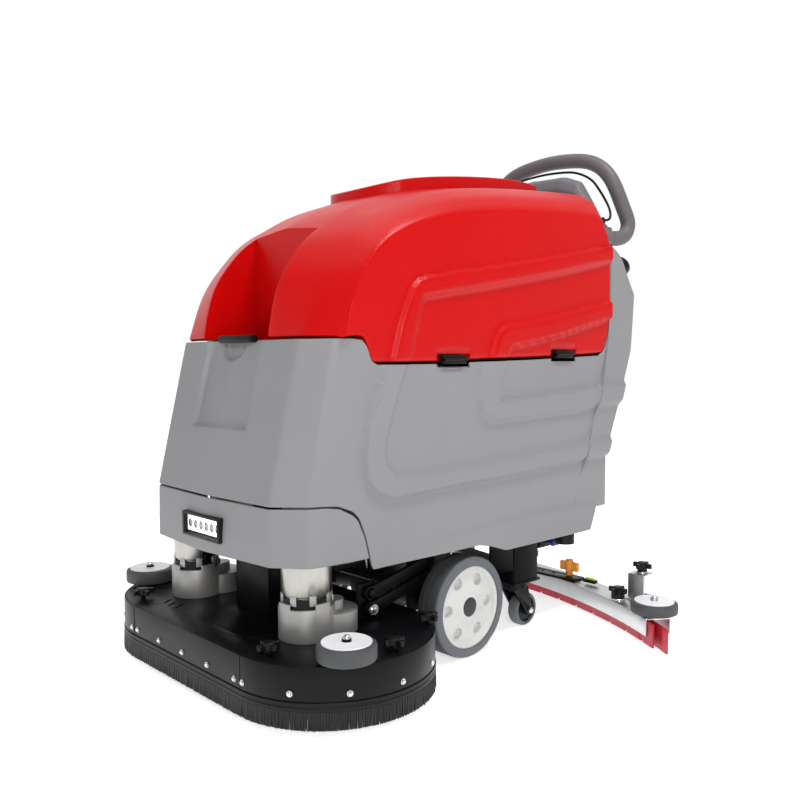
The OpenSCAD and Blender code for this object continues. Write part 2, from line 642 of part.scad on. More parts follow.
module deck_plan(inset) {
    r = deck_r - inset;
    for (x = [-brush_x, brush_x]) translate([x, deck_mid_y]) circle(r = r, $fn = 128);
    translate([-brush_x, inset]) square([2 * brush_x, 2 * r]);
}
module deck_plate() {
    color("#1b1c1f") at_origin() {
        difference() {
            translate([0, 0, deck_top - deck_t]) linear_extrude(height = deck_t) deck_plan(deck_t + 0.3);
            for (s = [-1, 1]) {
                translate([s * brush_x, deck_mid_y, 90]) cylinder(h = 40, r = 24);
                for (i = [-1:1]) translate([s * (150 + i * 24), 60 + abs(i) * 4, 110]) rotate(s * -30)
                    cube([5, 26, 20], center = true);
            }
        }
        mirrored() {
            difference() {                                                   // lift lug
                along_x(link_x - link_t - 2, link_x - 2) polygon([[262, deck_top - 1], [304, deck_top - 1],
                    [304, 178], [262, 178]]);
                for (dz = [0, upper_rise]) rod_x(deck_pivot[0], deck_pivot[1] + dz, 150, 220, pin_r - 0.5);
            }
            rod_x(deck_pivot[0], deck_pivot[1], link_x - link_t - 4, link_x + link_t + 5, pin_r);
            rod_x(deck_pivot[0], deck_pivot[1] + upper_rise, link_x - link_t - 4, link_x + link_t + 4, pin_r);
            rod_x(deck_pivot[0], deck_pivot[1], link_x + link_t + 1, link_x + link_t + 6, 11);
        }
        difference() {                                                       // actuator clevis
            for (x = [-22, 14]) along_x(x, x + 8) polygon([[column_y - 17, deck_top - 1], [column_y + 17, deck_top - 1],
                [column_y + 13, 148], [column_y - 13, 148]]);
            rod_x(column_y, 132, -40, 40, 9);
        }
        mirrored() translate([roller_pos[0], roller_pos[1], deck_top - deck_t]) cylinder(h = 41, r = 8);
    }
}
module skirt_band() {
    color("#1f2023") at_origin() {
        difference() {
            translate([0, 0, band_low]) linear_extrude(height = deck_top - band_low) deck_plan(0);
            translate([0, 0, band_low - 1]) linear_extrude(height = 100) deck_plan(deck_t);
        }
    }
}
module bristle_skirt() {
    color("#0d0d0e") at_origin() {
        difference() {
            translate([0, 0, 38]) linear_extrude(height = band_low - 38.3) deck_plan(-1.5);
            translate([0, 0, 30]) linear_extrude(height = 60) deck_plan(7);
        }
        difference() {
            translate([0, 0, 8]) linear_extrude(height = 30.5) deck_plan(0);
            translate([0, 0, 0]) linear_extrude(height = 60) deck_plan(6);
        }
    }
}
bolt_z = 67.5;
module deck_bolts() {
    color("#c4c6ca") at_origin() {
        for (y = [0, 1], i = [-2:2]) translate([i * brush_x * 0.459, y * 2 * deck_r, bolt_z])
            rotate([y ? -90 : 90, 0, 0]) translate([0, 0, 0.2]) cylinder(h = bolt_head - 0.2, r = 3.6);
        for (s = [-1, 1], k = [0:5]) translate([s * brush_x, deck_mid_y, bolt_z])
            rotate([0, 0, s > 0 ? -87.5 + 29.3 * k : 267.5 - 29.3 * k]) rotate([0, 90, 0])
            translate([0, 0, deck_r + 0.2]) cylinder(h = bolt_head - 0.2, r = 3.6);
    }
}
deck_knob_at = [[225, 36], [354, 199], [300, 335]];
module deck_knobs() {
    color("#121214") at_origin() mirrored() for (p = deck_knob_at)
        translate([p[0], p[1], deck_top + 0.3]) {
            cylinder(h = 8, r = 5);
            translate([0, 0, 6]) star_knob(22, 16, 4);
        }
}
module deck_column() {
    color("#161719") at_origin() {
        difference() {
            translate([-56, column_y - 25, deck_top + 0.3]) cube([112, 50, 128]);
            translate([-50, column_y - 19, deck_top - 1]) cube([100, 60, 160]);
        }
    }
}
module brush_motors() {
    color("#c6c8cb") at_origin() mirrored() translate([motor_pos[0], motor_pos[1], 0]) {
        translate([0, 0, motor_low + 13]) cylinder(h = motor_high - motor_low - 13, r = motor_r);
        translate([0, 0, gearcase_top + 0.2]) cylinder(h = 40, r = motor_r - 4);
    }
}
module gearcases() {
    color("#aeb0b3") at_origin() mirrored() difference() {
        union() {
            translate([motor_pos[0], motor_pos[1], deck_top + 0.3]) cylinder(h = gearcase_top - deck_top - 0.5, r = 50);
            translate([brush_x, deck_mid_y, deck_top + 0.3]) cylinder(h = gearcase_top - deck_top - 0.5, r = 50);
            translate([motor_pos[0] - 42, motor_pos[1], deck_top + 0.3]) cube([82, 66, gearcase_top - deck_top - 0.5]);
            translate([brush_x, deck_mid_y, gearcase_top - 1]) cylinder(h = 18, r = 24);
            difference() {
                translate([motor_pos[0], motor_pos[1], gearcase_top - 1]) cylinder(h = 28, r = 50);
                translate([motor_pos[0], motor_pos[1], gearcase_top - 10]) cylinder(h = 60, r = motor_r - 3.5);
                for (a = [0:3]) translate([motor_pos[0], motor_pos[1], motor_low - 8]) rotate(a * 90 + 45)
                    translate([30, -22, 0]) cube([40, 44, 12]);
            }
        }
        translate([brush_x, deck_mid_y, 100]) cylinder(h = gearcase_top - 105, r = 14 + fit);
        translate([motor_pos[0], motor_pos[1], gearcase_top - 6]) cylinder(h = 30, r = motor_r - 3.5);
    }
}
module brush(s) {
    color("#77797d") at_origin() side(s) translate([brush_x, deck_mid_y, 0]) {
        rotate_extrude($fn = 128) polygon([[0, 48], [60, 48], [60, 44], [150, 40], [165, 0], [brush_d / 2, 0],
            [brush_d / 2 - 8, 8], [168, 44], [168, 66], [60, 66], [60, 80], [0, 80]]);
        translate([0, 0, 79]) cylinder(h = 60, r = 14);
    }
}
module brush_left() { brush(1); }
module brush_right() { brush(-1); }

// a rubbing roller, its underside at z
module roller(pos, z, h, pin) {
    translate([pos[0], pos[1], z]) rotate_extrude($fn = 96) polygon([[pin + fit, 0], [roller_d / 2 - 2, 0],
        [roller_d / 2, 2], [roller_d / 2, h - 4], [roller_d / 2 - 2, h - 2], [42, h - 2], [41, h], [pin + fit, h]]);
}
module front_roller_left() { color("#4c4e52") at_origin() roller(roller_pos, deck_top + 4, 30, 8); }
module front_roller_right() { color("#4c4e52") at_origin() side(-1) roller(roller_pos, deck_top + 4, 30, 8); }

// ---------------------------------------------------------------- squeegee

module pie(c, a0, a1) {
    translate(c) polygon([[0, 0], for (k = [0:6]) 2000 * [sin(a0 + (a1 - a0) * k / 6), cos(a0 + (a1 - a0) * k / 6)]]);
}
// a band of the arc about c between radii r0 and r1 on the x > 0 side, up to angle a1
module arc_band(c, r0, r1, a1) {
    intersection() {
        difference() {
            translate(c) circle(r = r1, $fn = 200);
            translate(c) circle(r = r0, $fn = 200);
        }
        pie(c, 0, a1);
        translate([0, 0]) square([700, 1300]);
    }
}
module squeegee_channel() {
    color("#b9bbbf") at_origin() {
        for (s = [1, -1]) side(s) {
            difference() {
                translate([0, 0, sq_top - 4]) linear_extrude(height = 4) arc_band(sq_centre, sq_r, sq_r + sq_w, sq_end);
                translate([knob_pos[0], knob_pos[1], 0]) cylinder(h = 100, r = 6.4);
            }
            translate([0, 0, sq_low]) linear_extrude(height = sq_top - sq_low - 1) arc_band(sq_centre, sq_r, sq_r + 4, sq_end);
            translate([0, 0, sq_low]) linear_extrude(height = sq_top - sq_low - 1)
                arc_band(sq_centre, sq_r + sq_w - 4, sq_r + sq_w, sq_end);
            translate([sq_roller_pos[0], sq_roller_pos[1], sq_top - 2]) cylinder(h = 36, r = 8);
            difference() {                                                   // bracket of the jack wheel
                union() {
                    translate([jack_pos[0] - 20, jack_pos[1] - 42, sq_top - 1]) cube([40, 18, 4]);
                    translate([jack_pos[0] - 20, jack_pos[1] - 28, sq_top - 1]) cube([40, 4, 58]);
                    translate([jack_pos[0] - 20, jack_pos[1] - 28, sq_top + 53]) cube([40, 44, 4]);
                }
                translate([jack_pos[0], jack_pos[1], 0]) cylinder(h = 200, r = 6.4);
            }
        }
    }
}
module front_blade() {
    color("#b51f38") at_origin() for (s = [1, -1]) side(s) translate([0, 0, 1]) difference() {
        linear_extrude(height = 50) arc_band(sq_centre, sq_r + 5, sq_r + 5 + blade_t, 32.9);
        for (k = [1:7]) translate([sq_centre[0], sq_centre[1], 0]) rotate(-7.5 - k * 3.3)
            translate([-4, sq_r, -1]) cube([8, 12, 5]);
    }
}
module rear_blade() {
    color("#b51f38") at_origin() for (s = [1, -1]) side(s)
        linear_extrude(height = 51) arc_band(rear_centre, rear_r, rear_r + blade_t, 35.9);
}
module suction_cuff() {
    color("#1c1d20") at_origin() translate([0, cuff_y, 0]) difference() {
        union() {
            translate([0, 0, sq_top + 0.3]) cylinder(h = 16, r = 27);
            translate([0, 0, sq_top + 0.3]) cylinder(h = 48, r = cuff_r);
        }
        translate([0, 0, 0]) cylinder(h = 200, r = cuff_r - 4);
    }
}
hose_path = [[0, cuff_y, 106], [0, 1003, 140], [0, 1004, 180], [0, 1006, 220], [0, 1009, 255], [0, 1012, 285],
    [0, 1012, 306], [0, 1004, 324], [0, 990, 330], [0, 972, 330]];
module suction_hose() { color("#111214") at_origin() swept(spline(hose_path, 3), 19, 12); }
module squeegee_bracket() {
    color("#26282b") at_origin() difference() {
        union() {
            translate([-205, 935, sq_top + 0.4]) cube([410, 44, 5]);
            translate([-44, 950, sq_top + 0.4]) cube([88, 22, 5]);
        }
        translate([0, cuff_y, 0]) cylinder(h = 200, r = 27.6);
        mirrored() {
            translate([knob_pos[0], knob_pos[1], 0]) cylinder(h = 100, r = 6.4);
            for (i = [0:2]) translate([60 + i * 34, 958, 0]) cylinder(h = 100, r = 5);
        }
    }
}
module squeegee_arm() {
    color("#232427") at_origin() {
        difference() {
            union() {
                along_x(-24, 24) polygon([[640, 152], [648, 183], [664, 183], [690, 168], [890, 92], [978, 92],
                    [978, 78], [884, 78], [686, 150], [664, 150]]);
                translate([0, cuff_y, 78]) cylinder(h = 14, r = 36);
            }
            rod_x(arm_pivot[0], arm_pivot[1], -40, 40, pin_r + fit);
            translate([0, cuff_y, 0]) cylinder(h = 200, r = cuff_r + fit);
        }
    }
}
module carrier_knob(s) {
    color("#e58a12") at_origin() side(s) translate([knob_pos[0], knob_pos[1], sq_top + 7]) {
        cylinder(h = 14, r = 9);
        translate([-26, -5, 12]) cube([52, 10, 22]);
        translate([0, 0, 12]) cylinder(h = 28, r = 10);
        translate([0, 0, -11]) cylinder(h = 13, r = 6);
    }
}
module carrier_knob_left() { carrier_knob(1); }
module carrier_knob_right() { carrier_knob(-1); }
module squeegee_knobs() {
    color("#131315") at_origin() mirrored() {
        translate([358, 886, sq_top + 0.3]) {
            cylinder(h = 14, r = 15);
            translate([0, 0, 12]) star_knob(23, 18, 4);
        }
        translate([jack_pos[0], jack_pos[1], sq_top + 57.3]) {
            cylinder(h = 8, r = 11);
            translate([0, 0, 6]) star_knob(23, 18, 4);
        }
        translate([jack_pos[0], jack_pos[1], 56]) cylinder(h = 62, r = 6);
        difference() {
            translate([jack_pos[0] - 15, jack_pos[1] - 6, 20]) cube([30, 30, 40]);
            translate([jack_pos[0] - 10.5, jack_pos[1] - 16, 0]) cube([21, 60, 54]);
        }
        rod_x(jack_pos[1] + 12, 26, jack_pos[0] - 16, jack_pos[0] + 16, 3.5);
    }
}
module squeegee_roller(s) { color("#4c4e52") at_origin() side(s) roller(sq_roller_pos, sq_top + 1.5, roller_h, 8); }
module squeegee_roller_left() { squeegee_roller(1); }
module squeegee_roller_right() { squeegee_roller(-1); }
module jack_wheel(s) {
    color("#5a5c60") at_origin() side(s) translate([jack_pos[0] - 9, jack_pos[1] + 12, 26]) rotate([0, 90, 0])
        rotate_extrude($fn = 64) polygon([[3.5 + fit, 0], [22, 0], [24, 2], [24, 16], [22, 18], [3.5 + fit, 18]]);
}
module jack_wheel_left() { jack_wheel(1); }
module jack_wheel_right() { jack_wheel(-1); }

// ---------------------------------------------------------------- water valve

valve_at = [172, 862, 168];
module water_valve() {
    color("#26282c") at_origin() {
        translate(valve_at) difference() {
            union() {
                rotate([90, 0, 0]) cylinder(h = 80, r = 15, center = true);
                cylinder(h = 68, r = 15);
            }
            rotate([0, 90, 0]) cylinder(h = 60, r = 6 + fit);
        }
        translate([232, 855, 172]) cylinder(h = 26.5, r = 23);               // drain stub
    }
}
module valve_lever() {
    color("#1d3fb4") at_origin() translate(valve_at) {
        translate([6, 0, 0]) rotate([0, 90, 0]) cylinder(h = 24, r = 6);
        along_x(22, 30) polygon([[-9, -9], [9, -9], [42, -6], [42, 6], [9, 9], [-9, 9]]);
    }
}

chassis_frame();
solution_tank();
bumper_cover();
light_housing();
light_lens();
battery_pack();
vacuum_motor();
transaxle();
hood_hinges();
lift_actuator();
water_valve();
valve_lever();
filler_cap();
console_housing();
console_panel();
key_switch();
stop_button();
speed_dial();
handle_loop();
drive_bail();
recovery_tank();
float_cage();
tank_lid();
lower_links();
upper_links();
actuator_rod();
deck_plate();
skirt_band();
bristle_skirt();
deck_bolts();
deck_knobs();
deck_column();
brush_motors();
gearcases();
brush_left();
brush_right();
front_roller_left();
front_roller_right();
drive_tyre_left();
drive_tyre_right();
drive_hub_left();
drive_hub_right();
castor_fork_left();
castor_fork_right();
castor_wheel_left();
castor_wheel_right();
squeegee_arm();
squeegee_bracket();
squeegee_channel();
front_blade();
rear_blade();
suction_cuff();
suction_hose();
carrier_knob_left();
carrier_knob_right();
squeegee_knobs();
squeegee_roller_left();
squeegee_roller_right();
jack_wheel_left();
jack_wheel_right();
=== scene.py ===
import json
import math

import bmesh
import bpy
import numpy as np
from mathutils import Matrix, Vector

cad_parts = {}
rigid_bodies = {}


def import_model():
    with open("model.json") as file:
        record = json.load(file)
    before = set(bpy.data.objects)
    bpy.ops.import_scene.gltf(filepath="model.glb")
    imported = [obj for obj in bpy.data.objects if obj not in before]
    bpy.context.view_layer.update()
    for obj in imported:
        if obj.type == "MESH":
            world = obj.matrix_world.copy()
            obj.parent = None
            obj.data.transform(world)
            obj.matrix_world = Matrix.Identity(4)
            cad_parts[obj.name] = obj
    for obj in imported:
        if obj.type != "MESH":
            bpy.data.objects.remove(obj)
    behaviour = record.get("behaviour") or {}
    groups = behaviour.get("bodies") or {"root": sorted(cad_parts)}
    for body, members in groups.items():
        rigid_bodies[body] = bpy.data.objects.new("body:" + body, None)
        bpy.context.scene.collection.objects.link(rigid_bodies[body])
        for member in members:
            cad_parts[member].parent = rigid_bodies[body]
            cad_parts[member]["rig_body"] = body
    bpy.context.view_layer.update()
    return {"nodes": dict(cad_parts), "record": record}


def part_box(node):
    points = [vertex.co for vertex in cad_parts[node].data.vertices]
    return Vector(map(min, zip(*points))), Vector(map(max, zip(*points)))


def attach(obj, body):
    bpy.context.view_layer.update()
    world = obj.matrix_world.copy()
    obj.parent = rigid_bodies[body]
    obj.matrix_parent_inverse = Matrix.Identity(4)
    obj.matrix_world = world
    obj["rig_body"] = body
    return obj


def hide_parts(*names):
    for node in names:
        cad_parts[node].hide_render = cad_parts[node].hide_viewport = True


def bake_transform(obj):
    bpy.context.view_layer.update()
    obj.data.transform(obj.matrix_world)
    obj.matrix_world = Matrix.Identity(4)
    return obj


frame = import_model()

mm = 0.001
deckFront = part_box("skirt_band")[0].y      # the machine is drawn with y counted from the front of the deck
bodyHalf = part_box("solution_tank")[1].x / mm
print("frame loaded, half width of the body", round(bodyHalf))


def at(x, y, z):
    return Vector((x * mm, deckFront + y * mm, z * mm))


def deselect():
    if bpy.context.object and bpy.context.object.mode != "OBJECT":
        bpy.ops.object.mode_set(mode="OBJECT")
    bpy.ops.object.select_all(action="DESELECT")


def pick(obj):
    deselect()
    obj.select_set(True)
    bpy.context.view_layer.objects.active = obj
    return obj


def applyAll(obj):
    pick(obj)
    for modifier in list(obj.modifiers):
        bpy.ops.object.modifier_apply(modifier=modifier.name)


def settle(obj, angle=35):
    pick(obj)
    bpy.ops.object.transform_apply(location=True, rotation=True, scale=True)
    bpy.ops.object.shade_smooth_by_angle(angle=math.radians(angle))
    return obj


def recalc(obj, merge=0.00001):
    pick(obj)
    bpy.ops.object.mode_set(mode="EDIT")
    bpy.ops.mesh.select_all(action="SELECT")
    bpy.ops.mesh.remove_doubles(threshold=merge)
    bpy.ops.mesh.normals_make_consistent(inside=False)
    bpy.ops.object.mode_set(mode="OBJECT")


def named(name):
    made = bpy.context.object
    made.name = name
    made.data.name = name
    return made


def finish(obj, body, material, slot, *nodes):
    obj.data.materials.clear()
    obj.data.materials.append(material)
    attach(obj, body)
    if nodes:
        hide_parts(*nodes)
    return obj


# ---- materials
# a value in a shader, so that patterns read as sums
class Field:
    def __init__(self, build, socket):
        self.build = build
        self.socket = socket

    def math(self, kind, other, swap=False):
        a, b = (other, self) if swap else (self, other)
        return self.build.node("ShaderNodeMath", {"operation": kind}, a, b)

    def __add__(self, other):
        return self.math("ADD", other)

    def __sub__(self, other):
        return self.math("SUBTRACT", other)

    def __rsub__(self, other):
        return self.math("SUBTRACT", other, True)

    def __mul__(self, other):
        return self.math("MULTIPLY", other)

    __radd__ = __add__
    __rmul__ = __mul__


class Finish:
    def __init__(self, name, colour, roughness, metallic=0.0, **fixed):
        self.material = bpy.data.materials.new(name)
        self.material.use_nodes = True
        self.tree = self.material.node_tree
        self.shader = self.tree.nodes["Principled BSDF"]
        self.shader.inputs["Base Color"].default_value = (*colour, 1)
        self.shader.inputs["Roughness"].default_value = roughness
        self.shader.inputs["Metallic"].default_value = metallic
        for key, value in fixed.items():
            self.shader.inputs[key.replace("_", " ")].default_value = value
        coordinate = self.tree.nodes.new("ShaderNodeTexCoord")
        self.place = Field(self, coordinate.outputs["Object"])
        self.colour = colour

    def node(self, kind, settings, *values, out=0, **named):
        made = self.tree.nodes.new(kind)
        for key, value in settings.items():
            setattr(made, key, value)
        for key, value in [*enumerate(values), *named.items()]:
            if value is None:
                continue
            socket = made.inputs[key if isinstance(key, int) else key.replace("_", " ")]
            if isinstance(value, Field):
                self.tree.links.new(value.socket, socket)
            else:
                socket.default_value = value
        return Field(self, made.outputs[out])

    def link(self, value, name):
        self.tree.links.new(value.socket, self.shader.inputs[name])

    def stretched(self, x, y, z):
        return self.node("ShaderNodeMapping", {}, self.place, Scale=(x, y, z))

    def noise(self, scale, detail=3.0, where=None):
        return self.node("ShaderNodeTexNoise", {}, Vector=where or self.place, Scale=scale, Detail=detail)

    def cells(self, scale):
        return self.node("ShaderNodeTexVoronoi", {}, Vector=self.place, Scale=scale)

    # the share of the way from one colour to another
    def between(self, share, low, high):
        mix = self.tree.nodes.new("ShaderNodeMix")
        mix.data_type = "RGBA"
        mix.inputs[6].default_value = (*low, 1)
        mix.inputs[7].default_value = (*high, 1)
        self.tree.links.new(share.socket, mix.inputs[0])
        return Field(self, mix.outputs[2])

    def tone(self, share, amount):
        dark = [c * (1 - amount) for c in self.colour]
        light = [min(1, c * (1 + amount)) for c in self.colour]
        self.link(self.between(share, dark, light), "Base Color")

    def rough(self, value):
        self.link(value, "Roughness")

    def bump(self, height, strength, distance):
        self.link(self.node("ShaderNodeBump", {}, Strength=strength, Distance=distance, Height=height),
                "Normal")
        return self


def redMoulding():
    f = Finish("redMoulding", (0.50, 0.0002, 0.0006), 0.34, Specular_IOR_Level=0.2)
    cloud = f.noise(5.0, 2.0)
    f.tone(cloud, 0.06)
    f.rough(0.27 + cloud * 0.1)
    return f.bump(f.noise(560.0, 2.0) + f.noise(240.0, 1.0) * 0.6, 0.5, 0.0009).material


def greyMoulding(name, colour):
    f = Finish(name, colour, 0.5, Specular_IOR_Level=0.3)
    cloud = f.noise(4.0, 3.0)
    f.tone(cloud, 0.05)
    f.rough(0.44 + cloud * 0.14)
    return f.bump(f.noise(900.0, 2.0) + f.noise(300.0, 1.0) * 0.5, 0.16, 0.0004).material


def paintedBlack():
    f = Finish("paintedBlack", (0.0022, 0.0026, 0.0034), 0.4, Specular_IOR_Level=0.16)
    cloud = f.noise(14.0, 4.0)
    f.tone(cloud, 0.25)
    f.rough(0.27 + cloud * 0.2)
    return f.bump(f.noise(700.0, 2.0), 0.12, 0.0003).material


def blackPlastic():
    f = Finish("blackPlastic", (0.004, 0.004, 0.005), 0.42, Specular_IOR_Level=0.22)
    grain = f.noise(420.0, 2.0)
    f.rough(0.36 + grain * 0.14)
    f.tone(f.noise(20.0), 0.2)
    return f.bump(grain, 0.18, 0.0004).material


def metal(name, colour, roughness, grain, where=None, strength=0.1):
    f = Finish(name, colour, roughness, 1.0)
    streak = f.noise(grain, 3.0, f.stretched(*where) if where else None)
    f.rough((roughness - 0.09) + streak * 0.2)
    f.tone(f.noise(18.0, 4.0), 0.12)
    return f.bump(streak, strength, 0.0003).material


def castAluminium():
    f = Finish("castAluminium", (0.40, 0.395, 0.385), 0.42, 0.6)
    skin = f.noise(380.0, 3.0)
    f.rough(0.34 + skin * 0.22)
    f.tone(f.noise(30.0, 4.0), 0.14)
    return f.bump(skin, 0.35, 0.0006).material


def rubber(name, colour, roughness=0.62, pattern=None):
    f = Finish(name, colour, roughness, Specular_IOR_Level=0.35)
    dust = f.noise(35.0, 4.0)
    f.tone(dust, 0.16)
    f.rough((roughness - 0.08) + dust * 0.18)
    height = f.cells(pattern) if pattern else f.noise(500.0, 2.0)
    return f.bump(height, 0.5 if pattern else 0.2, 0.0010 if pattern else 0.0004).material


def gloss(name, colour, roughness=0.3):
    f = Finish(name, colour, roughness)
    f.tone(f.noise(25.0), 0.08)
    f.rough((roughness - 0.05) + f.noise(60.0) * 0.12)
    return f.bump(f.noise(500.0, 1.0), 0.08, 0.0003).material


def blade():
    f = Finish("bladeRed", (0.42, 0.010, 0.030), 0.33, Specular_IOR_Level=0.5, Subsurface_Weight=0.08)
    f.tone(f.noise(30.0, 3.0), 0.14)
    f.rough(0.26 + f.noise(90.0) * 0.14)
    return f.bump(f.noise(240.0), 0.1, 0.0004).material


def bristle(name, colour):
    f = Finish(name, colour, 0.5)
    strand = f.noise(900.0, 2.0, f.stretched(1, 1, 0.04))
    f.tone(strand, 0.5)
    f.rough(0.42 + strand * 0.2)
    return f.bump(strand, 0.7, 0.0008).material


def lampGlow():
    f = Finish("lampGlow", (0.95, 0.96, 1.0), 0.3, Emission_Strength=1.1)
    f.shader.inputs["Emission Color"].default_value = (0.95, 0.97, 1.0, 1)
    f.tone(f.noise(300.0), 0.03)
    return f.material


def lensClear():
    f = Finish("lensClear", (0.95, 0.97, 1.0), 0.06, Transmission_Weight=0.94, IOR=1.49)
    f.rough(0.04 + f.noise(40.0) * 0.05)
    return f.material


paint = paintedBlack()
plastic = blackPlastic()
finishes = {
    "painted_black": paint,
    "grey_moulding": greyMoulding("greyMoulding", (0.232, 0.234, 0.243)),
    "red_moulding": redMoulding(),
    "black_plastic": plastic,
    "lens": lensClear(),
    "battery": gloss("batteryCase", (0.03, 0.035, 0.05), 0.45),
    "motor_steel": metal("motorSteel", (0.40, 0.395, 0.37), 0.26, 60.0, (1, 1, 0.03)),
    "cast_aluminium": castAluminium(),
    "zinc_steel": metal("zincSteel", (0.66, 0.67, 0.68), 0.28, 120.0),
    "dark_casting": rubber("darkCasting", (0.03, 0.031, 0.034), 0.5),
    "handle_grip": greyMoulding("handleGrip", (0.125, 0.113, 0.118)),
    "console_grey": greyMoulding("consoleGrey", (0.125, 0.125, 0.135)),
    "stop_red": gloss("stopRed", (0.6, 0.008, 0.008)),
    "valve_blue": gloss("valveBlue", (0.012, 0.03, 0.33)),
    "knob_orange": gloss("knobOrange", (0.78, 0.27, 0.015)),
    "tyre_grey": rubber("tyreGrey", (0.105, 0.113, 0.126), 0.6),
    "hub_white": greyMoulding("hubGrey", (0.56, 0.56, 0.55)),
    "roller_rubber": rubber("rollerRubber", (0.060, 0.063, 0.066), 0.55),
    "bristle_black": bristle("bristleBlack", (0.004, 0.0045, 0.0055)),
    "bristle_grey": bristle("bristleGrey", (0.30, 0.305, 0.31)),
    "channel_aluminium": metal("channelAluminium", (0.60, 0.61, 0.62), 0.36, 90.0, (0.2, 1, 1)),
    "blade_red": blade(),
    "hose_black": rubber("hoseBlack", (0.012, 0.012, 0.013), 0.45),
}
knurled = rubber("knurledTread", (0.050, 0.052, 0.056), 0.7, pattern=330.0)
discPale = gloss("rollerDisc", (0.80, 0.80, 0.83), 0.32)
glow = lampGlow()
slotOf = {s["node"]: s["material_slot"] for s in frame["record"]["subparts"]}
for nodeName, node in frame["nodes"].items():
    node.data.materials.clear()
    node.data.materials.append(finishes[slotOf[nodeName]])
print("materials made", len(bpy.data.materials))


# ---- shared ways of making a piece
# a grid of columns by rows cells whose points are put at place(u, v), u and v from 0 to 1
def gridPiece(name, columns, rows, place):
    deselect()
    bpy.ops.mesh.primitive_grid_add(x_subdivisions=columns, y_subdivisions=rows, size=1)
    made = named(name)
    count = len(made.data.vertices)
    co = np.empty(count * 3)
    made.data.vertices.foreach_get("co", co)
    co = co.reshape(-1, 3)
    spots = place(np.clip(co[:, 0] + 0.5, 0, 1), np.clip(co[:, 1] + 0.5, 0, 1))
    spots = np.asarray(spots, float).reshape(-1, 3) * mm + np.array([0, deckFront, 0])
    made.data.vertices.foreach_set("co", spots.ravel())
    made.data.update()
    recalc(made, 0.00002)
    return made


# turns an outline of (radius, height) in millimetres about an axis through centre
def lathe(name, outline, centre, axis, steps=72):
    deselect()
    bpy.ops.mesh.primitive_circle_add(vertices=len(outline), radius=1)
    made = named(name)
    for vertex, (radius, height) in zip(made.data.vertices, outline):
        vertex.co = (radius * mm, 0, height * mm)
    pick(made)
    bpy.ops.object.mode_set(mode="EDIT")
    bpy.ops.mesh.select_all(action="SELECT")
    bpy.ops.mesh.spin(steps=steps, angle=math.tau, center=(0, 0, 0), axis=(0, 0, 1))
    bpy.ops.mesh.select_all(action="SELECT")
    bpy.ops.mesh.remove_doubles(threshold=0.00001)
    bpy.ops.mesh.normals_make_consistent(inside=False)
    bpy.ops.object.mode_set(mode="OBJECT")
    turn = Vector((0, 0, 1)).rotation_difference(Vector(axis)).to_matrix().to_4x4()
    made.data.transform(Matrix.Translation(centre) @ turn)
    return settle(made, 30)


# a round tube along a smooth line through points, closed at its ends
def tube(name, points, radius, sides=8, smooth=12):
    curve = bpy.data.curves.new(name, "CURVE")
    curve.dimensions = "3D"
    curve.bevel_depth = radius
    curve.bevel_resolution = sides
    curve.use_fill_caps = True
    spline = curve.splines.new("POLY")
    line = smoothLine([Vector(p) for p in points], smooth)
    spline.points.add(len(line) - 1)
    for point, spot in zip(spline.points, line):
        point.co = (*spot, 1)
    made = bpy.data.objects.new(name, curve)
    bpy.context.scene.collection.objects.link(made)
    pick(made)
    bpy.ops.object.convert(target="MESH")
    made = bpy.context.object
    recalc(made)
    return settle(made, 50)


def smoothLine(points, steps):
    line = []
    last = len(points) - 1
    for i in range(last):
        a, b, c, d = points[max(i - 1, 0)], points[i], points[i + 1], points[min(i + 2, last)]
        for k in range(steps):
            t = k / steps
            line.append(0.5 * (2 * b + (c - a) * t + (2 * a - 5 * b + 4 * c - d) * t * t
                               + (3 * b - a - 3 * c + d) * t * t * t))
    return [*line, points[last]]


def softBox(name, low, high, bevel=1.0, segments=2):
    deselect()
    low, high = at(*low), at(*high)
    bpy.ops.mesh.primitive_cube_add(size=1, location=(low + high) / 2)
    made = named(name)
    made.scale = high - low
    pick(made)
    bpy.ops.object.transform_apply(location=True, rotation=True, scale=True)
    if bevel:
        modifier = made.modifiers.new("edge", "BEVEL")
        modifier.width = bevel * mm
        modifier.segments = segments
        applyAll(made)
    return made


def softRod(name, centre, axis, radius, length, bevel=0.8, sides=40):
    deselect()
    bpy.ops.mesh.primitive_cylinder_add(vertices=sides, radius=radius * mm, depth=length * mm)
    made = named(name)
    if bevel:
        modifier = made.modifiers.new("edge", "BEVEL")
        modifier.width = bevel * mm
        modifier.segments = 2
        modifier.limit_method = "ANGLE"
        applyAll(made)
    turn = Vector((0, 0, 1)).rotation_difference(Vector(axis)).to_matrix().to_4x4()
    made.data.transform(Matrix.Translation(centre) @ turn)
    return settle(made, 40)


def cutBy(obj, cutter):
    modifier = obj.modifiers.new("cut", "BOOLEAN")
    modifier.operation = "DIFFERENCE"
    modifier.solver = "EXACT"
    modifier.object = cutter
    applyAll(obj)
    bpy.data.objects.remove(cutter)


def joined(name, pieces):
    deselect()
    for piece in pieces:
        piece.select_set(True)
    bpy.context.view_layer.objects.active = pieces[0]
    bpy.ops.object.join()
    return named(name)


def copyOf(node):
    source = frame["nodes"][node]
    copied = bpy.data.objects.new(node + "Fine", source.data.copy())
    bpy.context.scene.collection.objects.link(copied)
    pick(copied)
    bpy.ops.object.mode_set(mode="EDIT")
    bpy.ops.mesh.select_all(action="SELECT")
    bpy.ops.mesh.remove_doubles(threshold=0.000005)
    bpy.ops.mesh.dissolve_limited(angle_limit=math.radians(0.5))
    bpy.ops.object.mode_set(mode="OBJECT")
    return copied


